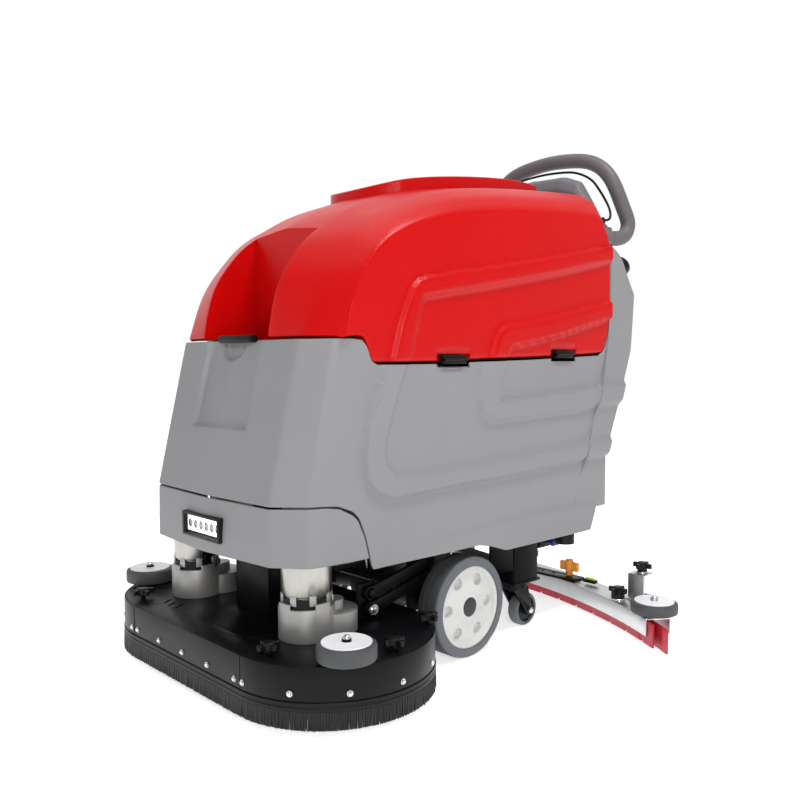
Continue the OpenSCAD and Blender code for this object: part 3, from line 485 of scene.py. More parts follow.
# the CAD piece with its edges broken, riding where the node does
def withEdges(node, width, segments=2, angle=38):
    copied = copyOf(node)
    modifier = copied.modifiers.new("edge", "BEVEL")
    modifier.width = width * mm
    modifier.segments = segments
    modifier.limit_method = "ANGLE"
    modifier.angle_limit = math.radians(angle)
    applyAll(copied)
    pick(copied)
    bpy.ops.object.shade_smooth_by_angle(angle=math.radians(30))
    slot = slotOf[node]
    return finish(copied, frame["nodes"][node]["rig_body"], finishes[slot], slot, node)


# the CAD piece as one soft moulding, its corners rounded by a fine remesh
def melted(node, cell, rounds, material=None):
    copied = copyOf(node)
    modifier = copied.modifiers.new("melt", "REMESH")
    modifier.mode = "VOXEL"
    modifier.voxel_size = cell * mm
    modifier = copied.modifiers.new("soft", "SMOOTH")
    modifier.factor = 0.5
    modifier.iterations = rounds
    applyAll(copied)
    pick(copied)
    bpy.ops.object.shade_smooth()
    slot = slotOf[node]
    return finish(copied, frame["nodes"][node]["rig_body"], material or finishes[slot], slot, node)


def step(t):
    t = np.clip(t, 0, 1)
    return t * t * (3 - 2 * t)


# distance of each point to a line of (y, z) points, positive on the left of its direction
def signedTo(line, y, z):
    best = np.full(y.shape, 1e9)
    sign = np.ones(y.shape)
    for (ay, az), (by, bz) in zip(line[:-1], line[1:]):
        dy, dz = by - ay, bz - az
        t = np.clip(((y - ay) * dy + (z - az) * dz) / (dy * dy + dz * dz), 0, 1)
        away = np.hypot(y - ay - t * dy, z - az - t * dz)
        cross = dy * (z - az) - dz * (y - ay)
        closer = away < best - 1e-6
        best = np.where(closer, away, best)
        sign = np.where(closer, np.sign(cross), sign)
    return best * sign


# ---- the mouldings: outlines in (y, z) millimetres, one for each distance from the middle
ribs = {
    "height": 10.0,
    "hoodWide": ([(262, 560), (275, 590), (300, 671), (327, 730), (343, 745), (363, 753), (579, 790),
            (784, 828),
                  (1030, 878)],
                 [(308, 560), (320, 592), (337, 654), (353, 709), (358, 715), (403, 723), (579, 753),
                 (785, 791),
                  (1030, 843)], 8, 14),
    "hoodNarrow": ([(540, 575), (548, 603), (558, 629), (571, 656), (596, 669), (714, 685), (863, 713),
            (1030, 748)],
                   [(590, 575), (598, 603), (613, 626), (680, 635), (787, 654), (1030, 708)], 15, 6),
    "bodyNarrow": ([(548, 620), (540, 591), (519, 549), (513, 519), (525, 488), (550, 477), (582, 476),
            (790, 483),
                    (1100, 500)],
                   [(612, 620), (598, 593), (575, 548), (572, 523), (581, 513), (789, 528), (1100, 547)],
                   15, 6),
    "bodyWide": ([(276, 620), (265, 590), (246, 537), (218, 477), (210, 433), (217, 388), (238, 363),
            (274, 348),
                  (432, 355), (583, 357), (792, 366), (1100, 378)],
                 [(324, 620), (312, 586), (287, 527), (262, 456), (260, 429), (265, 411), (287, 392),
                 (312, 388),
                  (377, 389), (582, 395), (791, 406), (1100, 412)], 8, 14),
    "bodyLow": [(180, 247), (262, 251), (350, 255), (491, 260), (684, 269), (872, 263), (1000, 250)],
}


def bandHeight(rib, y, z, leftIn):
    outer, inner, softOuter, softInner = ribs[rib]
    turn = 1 if leftIn else -1
    return ribs["height"] * step(turn * signedTo(outer, y, z) / softOuter + 0.5) \
        * step(-turn * signedTo(inner, y, z) / softInner + 0.5)


# shallow pads round the hinges, sunk into both mouldings
def hingePads(y, z):
    sunk = np.zeros(y.shape)
    for k in (0, 1):
        away = np.maximum(np.abs(y - 443.5 - 360 * k) - 46, np.abs(z - 598 - 12 * k) - 20)
        sunk = np.maximum(sunk, step(0.5 - away / 5))
    return -3 * sunk


# pushes the sides of a moulding outwards by height(y, z), fading in over the corner
def pressRibs(obj, height):
    count = len(obj.data.vertices)
    co = np.empty(count * 3)
    obj.data.vertices.foreach_get("co", co)
    co = co.reshape(-1, 3)
    x, y, z = co[:, 0] / mm, (co[:, 1] - deckFront) / mm, co[:, 2] / mm
    share = step((np.abs(x) - (bodyHalf - 9)) / 8)
    co[:, 0] += np.sign(x) * share * height(y, z) * mm
    obj.data.vertices.foreach_set("co", co.ravel())
    obj.data.update()


# points at share (0 to 1) of the length of a line, rounded by a cubic through its points
def lineSpots(points, share):
    line = np.array([tuple(p) for p in smoothLine([Vector((a, b, 0)) for a, b in points], 10)])[:, :2]
    run = np.concatenate([[0], np.cumsum(np.hypot(*np.diff(line, axis=0).T))])
    where = np.asarray(share) * run[-1]
    return np.interp(where, run, line[:, 0]), np.interp(where, run, line[:, 1])


hood = {
    "columns": [0, 114, 200, 238, bodyHalf],
    "outlines": [
        [(112, 637.5), (123, 702), (140, 751), (165, 790), (193, 822), (232, 853), (300, 893), (370, 925),
         (460, 953), (600, 975), (780, 995), (931, 1003), (958, 1003), (968, 990), (984, 880), (984, 743)],
        [(118, 637.5), (131, 702), (149, 749), (177, 789), (204, 819), (239, 846), (305, 890), (375, 921),
         (463, 947), (600, 970), (780, 990), (931, 1001), (957, 1001), (968, 988), (984, 880), (984, 743)],
        [(134, 637.5), (157, 702), (182, 750), (211, 790), (247, 831), (290, 864), (340, 887), (410, 915),
         (500, 941), (620, 961), (790, 980), (931, 992), (954, 992), (967, 980), (984, 880), (984, 743)],
        [(158, 637.5), (177, 702), (200, 750), (230, 791), (256, 820), (291, 848), (345, 873), (420, 899),
         (508, 921), (630, 940), (790, 957), (928, 968), (951, 966), (964, 952), (984, 875), (984, 743)],
        [(174, 637.5), (190, 702), (213, 752), (242, 791), (264, 810), (292, 828), (350, 855), (430, 878),
         (520, 895), (640, 911), (790, 926), (925, 935), (946, 930), (958, 916), (981, 872), (984, 743)]],
    "seam": [(174, 639), (209, 639.5), (221, 626.5), (232, 600.5), (246, 593.5), (404, 594.5), (519, 598.5),
             (680, 602.5), (788, 606.5), (940, 612.5), (963, 625.5), (981, 669.5), (984, 743)],
    "scoop": {"half": 114, "back": 239, "taper": 10},
    "mouth": {"half": 110, "front": 430, "rear": 900},
}


# the recovery tank: one closed moulding, its sides ruled down from the shoulder to the seam
def hoodShell():
    shares = np.linspace(0, 1, 341)
    curves = np.array([lineSpots(line, shares) for line in hood["outlines"]])
    creaseY, creaseZ = curves[-1]
    seamY, seamZ = lineSpots(hood["seam"], np.linspace(0, 1, 400))
    turnAt = np.argmax(creaseY > 938)
    footY = np.array(creaseY)
    footY[turnAt:] = 0
    footZ = np.interp(footY, seamY[:380], seamZ[:380])
    lowEnd = np.argmax(seamY > creaseY[turnAt - 1])
    tail = np.linspace(lowEnd, 399, len(shares) - turnAt + 1)[1:]
    footY[turnAt:] = np.interp(tail, np.arange(400), seamY)
    footZ[turnAt:] = np.interp(tail, np.arange(400), seamZ)
    top, side, under = 60, 66, 8
    total = top + 2 * side + under

    def place(u, v):
        row = np.rint(u * 340).astype(int)
        slot = np.rint(v * total).astype(int)
        onTop = (slot >= side) & (slot <= side + top)
        below = slot > 2 * side + top
        x = np.interp(slot, [side, side + top], [-bodyHalf, bodyHalf])
        x = np.where(below, np.interp(slot, [2 * side + top, total], [bodyHalf, -bodyHalf]), x)
        drop = np.where(slot < side, 1 - slot / side, np.clip((slot - side - top) / side, 0, 1))
        columns = np.array(hood["columns"])
        edge = np.clip(np.searchsorted(columns, np.abs(x), side="right") - 1, 0, len(columns) - 2)
        share = (np.abs(x) - columns[edge]) / (columns[edge + 1] - columns[edge])
        topY = curves[edge, 0, row] * (1 - share) + curves[edge + 1, 0, row] * share
        topZ = curves[edge, 1, row] * (1 - share) + curves[edge + 1, 1, row] * share
        y = np.where(onTop, topY, creaseY[row] * (1 - drop) + footY[row] * drop)
        z = np.where(onTop, topZ, creaseZ[row] * (1 - drop) + footZ[row] * drop)
        y = np.where(below, footY[row], y)
        z = np.where(below, footZ[row], z)
        return np.stack([x, y, z], axis=1)

    made = gridPiece("hoodShell", 340, total, place)
    pick(made)
    bpy.ops.object.mode_set(mode="EDIT")
    bpy.ops.mesh.select_all(action="DESELECT")
    bpy.ops.mesh.select_non_manifold()
    bpy.ops.mesh.fill()
    bpy.ops.object.mode_set(mode="OBJECT")
    soften = made.modifiers.new("soft", "SMOOTH")
    soften.factor = 0.5
    soften.iterations = 2
    applyAll(made)
    recalc(made)
    pressRibs(made, lambda y, z: np.maximum(bandHeight("hoodWide", y, z, False), bandHeight("hoodNarrow", y,
            z, False)) + hingePads(y, z))
    soften = made.modifiers.new("soft", "SMOOTH")
    soften.factor = 0.5
    soften.iterations = 2
    applyAll(made)
    cutBy(made, scoopCutter())
    mouth = hood["mouth"]
    cutBy(made, softBox("mouthCutter", (-mouth["half"], mouth["front"], 700),
            (mouth["half"], mouth["rear"], 1050), 0))
    for k in (0, 1):
        pad = softBox("hingeCutter", (bodyHalf - 12, 397 + 360 * k, 560),
                (bodyHalf + 20, 490 + 360 * k, 611 + 12 * k), 0)
        cutBy(made, pad)
    settle(made, 32)
    return finish(made, "hood", finishes["red_moulding"], "red_moulding", "recovery_tank")


# the recess in the front of the hood: upright cheeks and a back wall that leans
def scoopCutter():
    scoop = hood["scoop"]
    cutter = softBox("scoopCutter", (-scoop["half"], 60, 600), (scoop["half"], scoop["back"], 1100), 0)
    for vertex in cutter.data.vertices:
        if vertex.co.y > at(0, 200, 0).y:
            vertex.co.x -= math.copysign(scoop["taper"] * mm, vertex.co.x)
            vertex.co.y += (6 if vertex.co.z > at(0, 0, 900).z else -7) * mm
    return cutter


bodyShape = {
    "columns": [0, 193, 250, bodyHalf],
    "front": [
        [(42, 190), (42, 286), (50, 352), (73, 479), (113, 640), (113, 700)],
        [(58, 190), (58, 286), (59, 352), (88, 479), (125, 640), (125, 700)],
        [(100, 190), (104, 286), (110, 352), (133, 479), (165, 640), (165, 700)],
        [(180, 190), (185, 286), (190, 352), (200, 479), (212, 640), (212, 700)]],
    "rear": [(938, 190), (980, 288), (1008, 370), (1064, 496), (1115, 624), (1127, 760), (1127, 800)],
    "rearStep": [0, -6, -18, -30],
    "top": [(60, 634), (209, 636.5), (221, 623.5), (232, 597.5), (246, 590.5), (404, 591.5), (519, 595.5),
            (680, 599.5), (788, 603.5), (940, 609.5), (966, 622.5), (984, 666.5), (986.5, 740), (987.5, 870),
            (996, 870), (1037, 845), (1080, 783), (1097, 760), (1300, 760)],
    "low": [(-10, 350), (150, 351), (180, 343), (202, 322), (217, 288), (227, 250), (233, 225), (515, 225),
            (552, 217), (601, 201), (919, 199), (1300, 199)],
    "bumperTop": [(-10, 347), (147, 348), (177, 340), (199, 319), (214, 285), (224, 247.5), (226, 247)],
    "bumperLow": [(-10, 247), (300, 247)],
    "recess": {"wide": 91, "low": 474, "depth": 11},
}
frontLines = [np.array(line, float) for line in bodyShape["front"]]
rearLine = np.array(bodyShape["rear"], float)


def acrossColumns(x, values):
    return np.interp(np.abs(x), bodyShape["columns"], values)


def frontY(x, z):
    levels = np.array([np.interp(z, line[:, 1], line[:, 0]) for line in frontLines])
    columns = np.array(bodyShape["columns"])
    edge = np.clip(np.searchsorted(columns, np.abs(x), side="right") - 1, 0, len(columns) - 2)
    share = np.clip((np.abs(x) - columns[edge]) / (columns[edge + 1] - columns[edge]), 0, 1)
    pickAll = np.arange(len(np.atleast_1d(x)))
    return levels[edge, pickAll] * (1 - share) + levels[edge + 1, pickAll] * share


def rearY(x, z):
    return np.interp(z, rearLine[:, 1], rearLine[:, 0]) + acrossColumns(x, bodyShape["rearStep"])


def heightOf(line, y):
    line = np.array(bodyShape[line], float)
    return np.interp(y, line[:, 0], line[:, 1])


def recessDepth(x, z):
    recess = bodyShape["recess"]
    edge = recess["wide"] + (474 - z) * 0.018 - np.abs(x)
    panel = recess["depth"] * step(edge / 5 + 0.5) * step((z - recess["low"]) / 5 + 0.5)
    dip = 9 * step((36 - np.hypot(x + 6, z - 637)) / 8 + 0.5)
    return panel + dip


rim = {"row": [0, 1, 2, 3], "in": [5, 5, 1.2, 0], "up": [22, 0, 0, 1.2]}


# columns that run round the body: front, right side, rear and left side, as parts says
def wallPlace(parts, lowLine, topLine, rows):
    kinds = np.concatenate([np.full(len(along), kind) for kind, along in parts])
    along = np.concatenate([along for kind, along in parts])
    last = len(kinds) - 1

    def yOf(kind, t, z):
        onSide = np.abs(kind) == 2
        x = np.where(onSide, np.sign(kind) * bodyHalf, t)
        front, rear = frontY(x, z), rearY(x, z)
        y = np.where(onSide, front * (1 - t) + rear * t, np.where(kind == 1, front, rear))
        return x, y

    def place(u, v):
        index = np.rint(u * last).astype(int)
        kind, t = kinds[index], along[index]
        level = np.rint(v * (rows + 6)).astype(int)
        v = np.clip((level - 3) / rows, 0, 1)
        inward = np.interp(level, rim["row"] + [rows + 6 - k for k in rim["row"][::-1]],
                rim["in"] + rim["in"][::-1])
        drop = np.interp(level, rim["row"] + [rows + 6 - k for k in rim["row"][::-1]],
                         rim["up"] + [-k for k in rim["up"][::-1]])
        ends = []
        for line, start in ((lowLine, 300.0), (topLine, 620.0)):
            z = np.full(t.shape, start)
            for _ in range(14):
                x, y = yOf(kind, t, z)
                z = 0.5 * z + 0.5 * heightOf(line, y)
            ends.append(z)
        z = ends[0] * (1 - v) + ends[1] * v
        x, y = yOf(kind, t, z)
        y = y + np.where((kind == 1) & (np.abs(x) < 130), recessDepth(x, z), 0)
        y = y + inward * np.where(kind == 1, 1, np.where(kind == 3, -1, 0))
        x = np.clip(x, inward - bodyHalf, bodyHalf - inward)
        return np.stack([x, y, z + drop], axis=1)

    return place, last


def shell(made, wall, edge=1.5):
    modifier = made.modifiers.new("wall", "SOLIDIFY")
    modifier.thickness = wall * mm
    modifier.offset = -1
    modifier.use_even_offset = False
    applyAll(made)
    modifier = made.modifiers.new("edge", "BEVEL")
    modifier.width = edge * mm
    modifier.segments = 2
    modifier.limit_method = "ANGLE"
    modifier.angle_limit = math.radians(55)
    applyAll(made)
    return settle(made, 32)


def smoothRound(made, rounds):
    soften = made.modifiers.new("soft", "SMOOTH")
    soften.factor = 0.5
    soften.iterations = rounds
    group = made.vertex_groups.new(name="inner")
    mesh = bmesh.new()
    mesh.from_mesh(made.data)
    group.add([v.index for v in mesh.verts if not v.is_boundary], 1.0, "REPLACE")
    mesh.free()
    soften.vertex_group = "inner"
    applyAll(made)
    made.vertex_groups.clear()


def bodyShell():
    xs = np.linspace(-bodyHalf, bodyHalf, 106)
    fs = np.linspace(0, 1, 226)
    parts = [(1, xs), (2, fs[1:]), (3, xs[::-2][1:]), (-2, fs[::-1][1:])]
    place, last = wallPlace(parts, "low", "top", 96)
    made = gridPiece("bodyShell", last, 102, place)
    smoothRound(made, 1)
    recalc(made)
    pressRibs(made, lambda y, z: np.maximum(bandHeight("bodyWide", y, z, True), bandHeight("bodyNarrow", y,
            z, True))
              + 5 * step(0.5 - signedTo(ribs["bodyLow"], y, z) / 16) * step((y - 250) / 200) + hingePads(y,
                      z))
    smoothRound(made, 1)
    for k in (0, 1):
        pad = softBox("hingeCutter", (bodyHalf - 12, 397 + 360 * k, 584 + 12 * k),
                (bodyHalf + 20, 490 + 360 * k, 640), 0)
        cutBy(made, pad)
    settle(made, 32)
    return finish(made, "chassis", finishes["grey_moulding"], "grey_moulding", "solution_tank")


def bumperShell():
    xs = np.linspace(-bodyHalf, bodyHalf, 120)
    yEnd = 225.5
    side = np.linspace(0, 1, 22)
    reach = (yEnd - frontY(np.array([bodyHalf]), np.array([300.0]))[0]) / 740
    parts = [(-2, side[::-1] * reach), (1, xs[1:-1]), (2, side * reach)]
    place, last = wallPlace(parts, "bumperLow", "bumperTop", 26)
    made = gridPiece("bumperShell", last, 32, place)
    smoothRound(made, 2)
    recalc(made)
    cutBy(made, lampCutter())
    settle(made, 32)
    return finish(made, "chassis", finishes["grey_moulding"], "grey_moulding", "bumper_cover")


lamp = {"half": 61, "low": 275, "high": 312, "flare": 5, "count": 6, "first": -47.5, "pitch": 19, "z": 293}


def lampCutter():
    cutter = softBox("lampCutter", (-lamp["half"], 20, lamp["low"]), (lamp["half"], 70, lamp["high"]), 0)
    for vertex in cutter.data.vertices:
        if vertex.co.y < at(0, 40, 0).y:
            vertex.co.x += math.copysign(2 * lamp["flare"] * mm, vertex.co.x)
            vertex.co.z += math.copysign(lamp["flare"] * mm, vertex.co.z - lamp["z"] * mm)
    return cutter


# the top and the front wall of the column behind the hood
def rearCowl():
    line = [(990, 600), (990, 868), (996, 869), (1037, 844), (1080, 782), (1096, 759)]

    def place(u, v):
        y, z = lineSpots(line, v)
        x = (u * 2 - 1) * (bodyHalf - 1)
        return np.stack([x, y + np.where(v > 0.99, acrossColumns(x, [29, 24, 12, 0]), 0), z], axis=1)

    made = gridPiece("rearCowl", 24, 60, place)
    shell(made, 4, 0.8)
    return finish(made, "chassis", finishes["grey_moulding"], "grey_moulding")


# the tank's top deck with the battery bay let into it
def bayLiner():
    made = softBox("bayLiner", (-256, 214, 248), (256, 989, 586), 0)
    cutBy(made, softBox("bayCutter", (-200, 235, 250.2), (200, 905, 700), 0))
    cutBy(made, softBox("tunnelCutter", (-300, 100, 100), (300, 1100, 247), 0))
    modifier = made.modifiers.new("edge", "BEVEL")
    modifier.width = 3 * mm
    modifier.segments = 2
    modifier.limit_method = "ANGLE"
    applyAll(made)
    settle(made, 40)
    return finish(made, "chassis", finishes["grey_moulding"], "grey_moulding")


def lineHeight(line, y):
    share = np.linspace(0, 1, 200)
    run, height = lineSpots(line, share)
    return np.interp(y, run, height)


# the raised oval lid, with a crowned top and a soft edge
def tankLid():
    size = {"half": 142, "front": 392, "rear": 946, "corner": 138, "rise": 16}
    skirt = [(380, 912), (460, 942), (600, 965), (780, 986), (946, 999)]
    crown = [(370, 926.5), (460, 954.5), (600, 976.5), (780, 996.5), (931, 1004.5), (966, 1004.5)]
    midY = (size["front"] + size["rear"]) / 2
    rings, around = 14, 160

    def place(u, v):
        angle = u * math.tau
        half, deep, corner = size["half"], (size["rear"] - size["front"]) / 2, size["corner"]
        flatX, flatY = half - corner, deep - corner
        cx, cy = np.cos(angle), np.sin(angle)
        x = np.sign(cx) * flatX * np.clip(np.abs(cx) * 5, 0, 1) + corner * cx
        y = np.sign(cy) * flatY * np.clip(np.abs(cy) * 1.6, 0, 1) + corner * cy
        slot = np.rint(v * rings)
        inset = np.interp(slot, [0, 1, 2, 3, 4, 5, 6, 8, rings], [1, 1, 1, 0.997, 0.988, 0.97, 0.94, 0.6, 0])
        lift = np.interp(slot, [0, 1, 2, 3, 4, 5, 6, 8, rings], [0, 0.6, 0.84, 0.93, 0.98, 1, 1, 1.02, 1.05])
        y = midY + y * inset
        base = lineHeight(crown, y)
        low = lineHeight(skirt, y)
        return np.stack([x * inset, y, np.where(slot == 0, low, base + size["rise"] * lift - 0.2)], axis=1)

    made = gridPiece("tankLid", around, rings, place)
    pick(made)
    bpy.ops.object.mode_set(mode="EDIT")
    bpy.ops.mesh.select_all(action="DESELECT")
    bpy.ops.mesh.select_non_manifold()
    bpy.ops.mesh.extrude_region_move(TRANSFORM_OT_translate={"value": (0, 0, 0)})
    bpy.ops.transform.resize(value=(0.95, 0.97, 1), center_override=at(0, midY, 960))
    bpy.ops.object.mode_set(mode="OBJECT")
    recalc(made)
    knuckles = [softRod("lidKnuckle", at(x + 10, 955, 1012), (1, 0, 0), 6, 20) for x in (-70, 50)]
    made = joined("tankLid", [made, *knuckles])
    settle(made, 35)
    return finish(made, "lid", finishes["red_moulding"], "red_moulding", "tank_lid")


print("building the mouldings")
hoodShell()
bodyShell()
bumperShell()
rearCowl()
bayLiner()
tankLid()


# ---- hinges and small trim of the hood, and a black block of painted shade in its finger gap
hinge = {"y": 443.5, "z": 600, "apart": 360, "rise": 12, "knuckle": 3.4, "pitch": 13, "leafHalf": 33}


def hingeTrim():
    tilt = math.atan(hinge["rise"] / hinge["apart"])
    axis = Vector((0, math.cos(tilt), math.sin(tilt)))
    halves = {"hood": [], "chassis": []}
    for k in (0, 1):
        y, z = hinge["y"] + hinge["apart"] * k, hinge["z"] + hinge["rise"] * k
        middle = at(266.5, y, z)
        for i in range(5):
            body = "hood" if i % 2 else "chassis"
            spot = middle + axis * (i - 2) * hinge["pitch"] * mm
            halves[body].append(softRod("knuckle", spot, axis, hinge["knuckle"], 12.4, 0.5, 24))
        for body, way in (("hood", 1), ("chassis", -1)):
            low, high = sorted((z + way * 1.2, z + way * 8.5))
            leaf = softBox("leaf", (252, y - hinge["leafHalf"], low), (264, y + hinge["leafHalf"], high),
                    0.5)
            halves[body].append(leaf)
    for body, parts in halves.items():
        made = joined(f"hinges{body.title()}", parts)
        nodes = ["hood_hinges"] if body == "chassis" else []
        finish(settle(made), body, plastic, "black_plastic", *nodes)
    # a black box set in the finger gap as painted shade, standing in for the shadow inside the opening
    paintedGapShade = softBox("fingerGapPaintedShade", (-46, 110.5, 631), (64, 130, 645), 3)
    finish(settle(paintedGapShade), "chassis", plastic, "black_plastic")
    pin = softRod("lidPin", at(0, 955, 1012), (1, 0, 0), 3, 160)
    ears = [softBox("lidEar", (x, 948, 1000), (x + 9, 962, 1017), 2) for x in (-80, 71)]
    made = joined("lidPin", [pin, *ears])
    finish(settle(made), "hood", finishes["red_moulding"], "red_moulding")


def lampSpot(k, y):
    return at(lamp["first"] + lamp["pitch"] * k, y, lamp["z"])


def lampParts():
    cups = []
    for k in range(lamp["count"]):
        outline = [(0.1, 0), (8.8, 0), (8.8, 13), (8.2, 13), (6.0, 4), (3.2, 2.2), (0.1, 2.2)]
        cups.append(lathe("lampCup", outline, lampSpot(k, 64), (0, -1, 0), 24))
    made = joined("lampCups", cups)
    finish(made, "chassis", finishes["zinc_steel"], "zinc_steel")
    bulbs = [lathe("lampBulb", [(0.1, 0), (3.4, 0), (3.1, 2), (1.8, 3.6), (0.1, 4.2)], lampSpot(k, 61.5),
                   (0, -1, 0), 20) for k in range(lamp["count"])]
    finish(joined("lampBulbs", bulbs), "chassis", glow, "lens")
    plate = softBox("lampPlate", (-57.2, 47.5, 278.8), (57.2, 48.5, 307.2), 0.3)
    for k in range(lamp["count"]):
        cutBy(plate, softRod("holeCutter", lampSpot(k, 48), (0, 1, 0), 8.3, 20, 0))
    finish(settle(plate), "chassis", glow, "lens", "light_lens")
    withEdges("light_housing", 0.8)


print("trim and lamp")
hingeTrim()
lampParts()


# ---- wheels
def driveWheel(side, name):
    low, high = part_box(f"drive_tyre_{name}")
    centre = Vector(((high.x if side > 0 else low.x), (low.y + high.y) / 2, (low.z + high.z) / 2))
    radius = (high.z - low.z) / 2 / mm
    wide = (high.x - low.x) / mm
    axis = (side, 0, 0)
    outline = [(83, -0.5), (84.5, 0), (95, -0.6), (radius - 3.2, -2.2), (radius - 1.4, -4.4)]
    tyre = lathe(f"tyreWall{name.title()}", [*outline, (radius - 1.8, -5.4), (radius - 3, -6), (83, -6)],
            centre, axis, 128)
    finish(tyre, f"drive_wheel_{name}", finishes["tyre_grey"], "tyre_grey", f"drive_tyre_{name}")
    tread = [(83, -6.2), (radius - 2.4, -6.2), (radius - 0.6, -7.4), (radius, -9.5)]
    for groove in (wide * 0.36, wide * 0.64):
        tread += [(radius, -groove + 1.4), (radius - 1.6, -groove + 0.7), (radius - 1.6, -groove - 0.7),
                  (radius, -groove - 1.4)]
    tread += [(radius, 7 - wide), (radius - 2, 3 - wide), (radius - 6, -wide), (83, -wide)]
    finish(lathe(f"tyreTread{name.title()}", tread, centre, axis, 128), f"drive_wheel_{name}", knurled,
            "tyre_grey")
    withEdges(f"drive_hub_{name}", 1.4, 3)
    cap = lathe(f"hubCap{name.title()}", [(0.1, -4), (0.1, 2.4), (9, 2.2), (17, 1.2), (20.5, -0.4), (21.5,
            -2), (21.5, -6),
                                          (0.1, -6)], centre + Vector((-side * 5 * mm, 0, 0)), axis, 64)
    finish(cap, f"drive_wheel_{name}", finishes["dark_casting"], "dark_casting")


def castor(side, name):
    withEdges(f"castor_fork_{name}", 1.2)
    low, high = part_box(f"castor_wheel_{name}")
    centre = (low + high) / 2
    radius = (high.z - low.z) / 2 / mm
    tread = [(28, -12), (31, -13.5), (34, -13), (radius - 1, -10), (radius, -6), (radius, 6),
            (radius - 1, 10),
             (34, 13), (31, 13.5), (28, 12)]
    finish(lathe(f"castorTread{name.title()}", tread, centre, (1, 0, 0), 72), f"castor_wheel_{name}",
           finishes["tyre_grey"], "tyre_grey", f"castor_wheel_{name}")
    web = [(5.2, -14.5), (12, -14.5), (13, -9), (25, -9), (27, -12.5), (28.4, -12.5), (28.4, 12.5),
            (27, 12.5),
           (25, 9), (13, 9), (12, 14.5), (5.2, 14.5)]
    finish(lathe(f"castorWeb{name.title()}", web, centre, (1, 0, 0), 56), f"castor_wheel_{name}", plastic,
            "black_plastic")
    for end in (-1, 1):
        nut = softRod(f"castorNut{name.title()}{'Out' if end > 0 else 'In'}",
                centre + Vector((end * 0.0245, 0, 0)),
                      (1, 0, 0), 7.5, 5, 0.8, 6)
        finish(nut, f"castor_{name}", finishes["zinc_steel"], "zinc_steel")


def roller(node, title):
    low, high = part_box(node)
    centre = Vector(((low.x + high.x) / 2, (low.y + high.y) / 2, low.z))
    radius = (high.x - low.x) / 2 / mm
    tall = (high.z - low.z) / mm
    body = frame["nodes"][node]["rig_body"]
    ring = [(8.3, 1), (radius - 4, 0), (radius - 1.2, 1.2), (radius, 4), (radius, tall - 8),
            (radius - 1.4, tall - 4),
            (radius - 5, tall - 2.2), (42.2, tall - 2), (42, tall - 4), (8.3, tall - 4)]
    finish(lathe(f"{title}Ring", ring, centre, (0, 0, 1), 96), body, finishes["roller_rubber"],
            "roller_rubber", node)
    disc = [(8.3, tall - 4.2), (41.8, tall - 4.2), (41.8, tall - 0.8), (41, tall), (37, tall - 0.2),
            (20, tall - 0.9),
            (14, tall - 0.4), (8.3, tall - 0.4)]
    finish(lathe(f"{title}Disc", disc, centre, (0, 0, 1), 96), body, discPale, "roller_rubber")


def rollerNut(name, node, body):
    low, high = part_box(node)
    centre = Vector(((low.x + high.x) / 2, (low.y + high.y) / 2, high.z - 0.5 * mm))
    outline = [(0.1, 0), (7.6, 0), (7.6, 4), (6.2, 5.4), (5.4, 8), (3.4, 9.8), (0.1, 10.4)]
    return finish(lathe(name, outline, centre, (0, 0, 1), 24), body, finishes["zinc_steel"], "zinc_steel")


print("wheels and rollers")
for side, name in ((1, "left"), (-1, "right")):
    driveWheel(side, name)
    castor(side, name)
    roller(f"front_roller_{name}", f"frontRoller{name.title()}")
    roller(f"squeegee_roller_{name}", f"squeegeeRoller{name.title()}")
    rollerNut(f"frontNut{name.title()}", f"front_roller_{name}", "deck")
    rollerNut(f"squeegeeNut{name.title()}", f"squeegee_roller_{name}", "squeegee")
    withEdges(f"jack_wheel_{name}", 0.8)


# ---- brush deck
deck = {"brushX": 191.5, "radius": 190.9, "bristleLow": 8, "bristleHigh": 39, "pitch": 2.5}


# a point on the deck's outline, offset outwards, and the direction outwards, distance along from the
# front left
def trackSpot(distance, offset):
    radius = deck["radius"]
    straight, half = 2 * deck["brushX"], math.pi * radius
    total = 2 * (straight + half)
    d = distance % total
    if d < straight:
        return (d - deck["brushX"], -offset), (0, -1)
    d -= straight
    if d < half:
        angle = -math.pi / 2 + d / radius
        out = (math.cos(angle), math.sin(angle))
        return (deck["brushX"] + (radius + offset) * out[0], radius + (radius + offset) * out[1]), out
    d -= half
    if d < straight:
        return (deck["brushX"] - d, 2 * radius + offset), (0, 1)
    angle = math.pi / 2 + (d - straight) / radius
    out = (math.cos(angle), math.sin(angle))
    return (-deck["brushX"] + (radius + offset) * out[0], radius + (radius + offset) * out[1]), out


# many copies of one small mesh as one piece
def copies(name, base, places):
    count = len(base.data.vertices)
    co = np.empty(count * 3)
    base.data.vertices.foreach_get("co", co)
    co = np.c_[co.reshape(-1, 3), np.ones(count)]
    faces = [tuple(p.vertices) for p in base.data.polygons]
    spots = np.concatenate([(co @ np.array(m).T)[:, :3] for m in places])
    mesh = bpy.data.meshes.new(name)
    mesh.from_pydata(spots.tolist(), [],
            [tuple(i + k * count for i in face) for k in range(len(places)) for face in faces])
    made = bpy.data.objects.new(name, mesh)
    bpy.context.scene.collection.objects.link(made)
    bpy.data.objects.remove(base)
    pick(made)
    bpy.ops.object.shade_smooth_by_angle(angle=math.radians(40))
    return made


# a tuft that hangs down from the origin
def tuft(radiusTop, radiusLow, tall, sides=5):
    deselect()
    bpy.ops.mesh.primitive_cone_add(vertices=sides, radius1=radiusLow * mm, radius2=radiusTop * mm,
            depth=tall * mm,
                                    location=(0, 0, -tall * mm / 2))
    made = bpy.context.object
    pick(made)
    bpy.ops.object.transform_apply(location=True, rotation=True, scale=True)
    return made


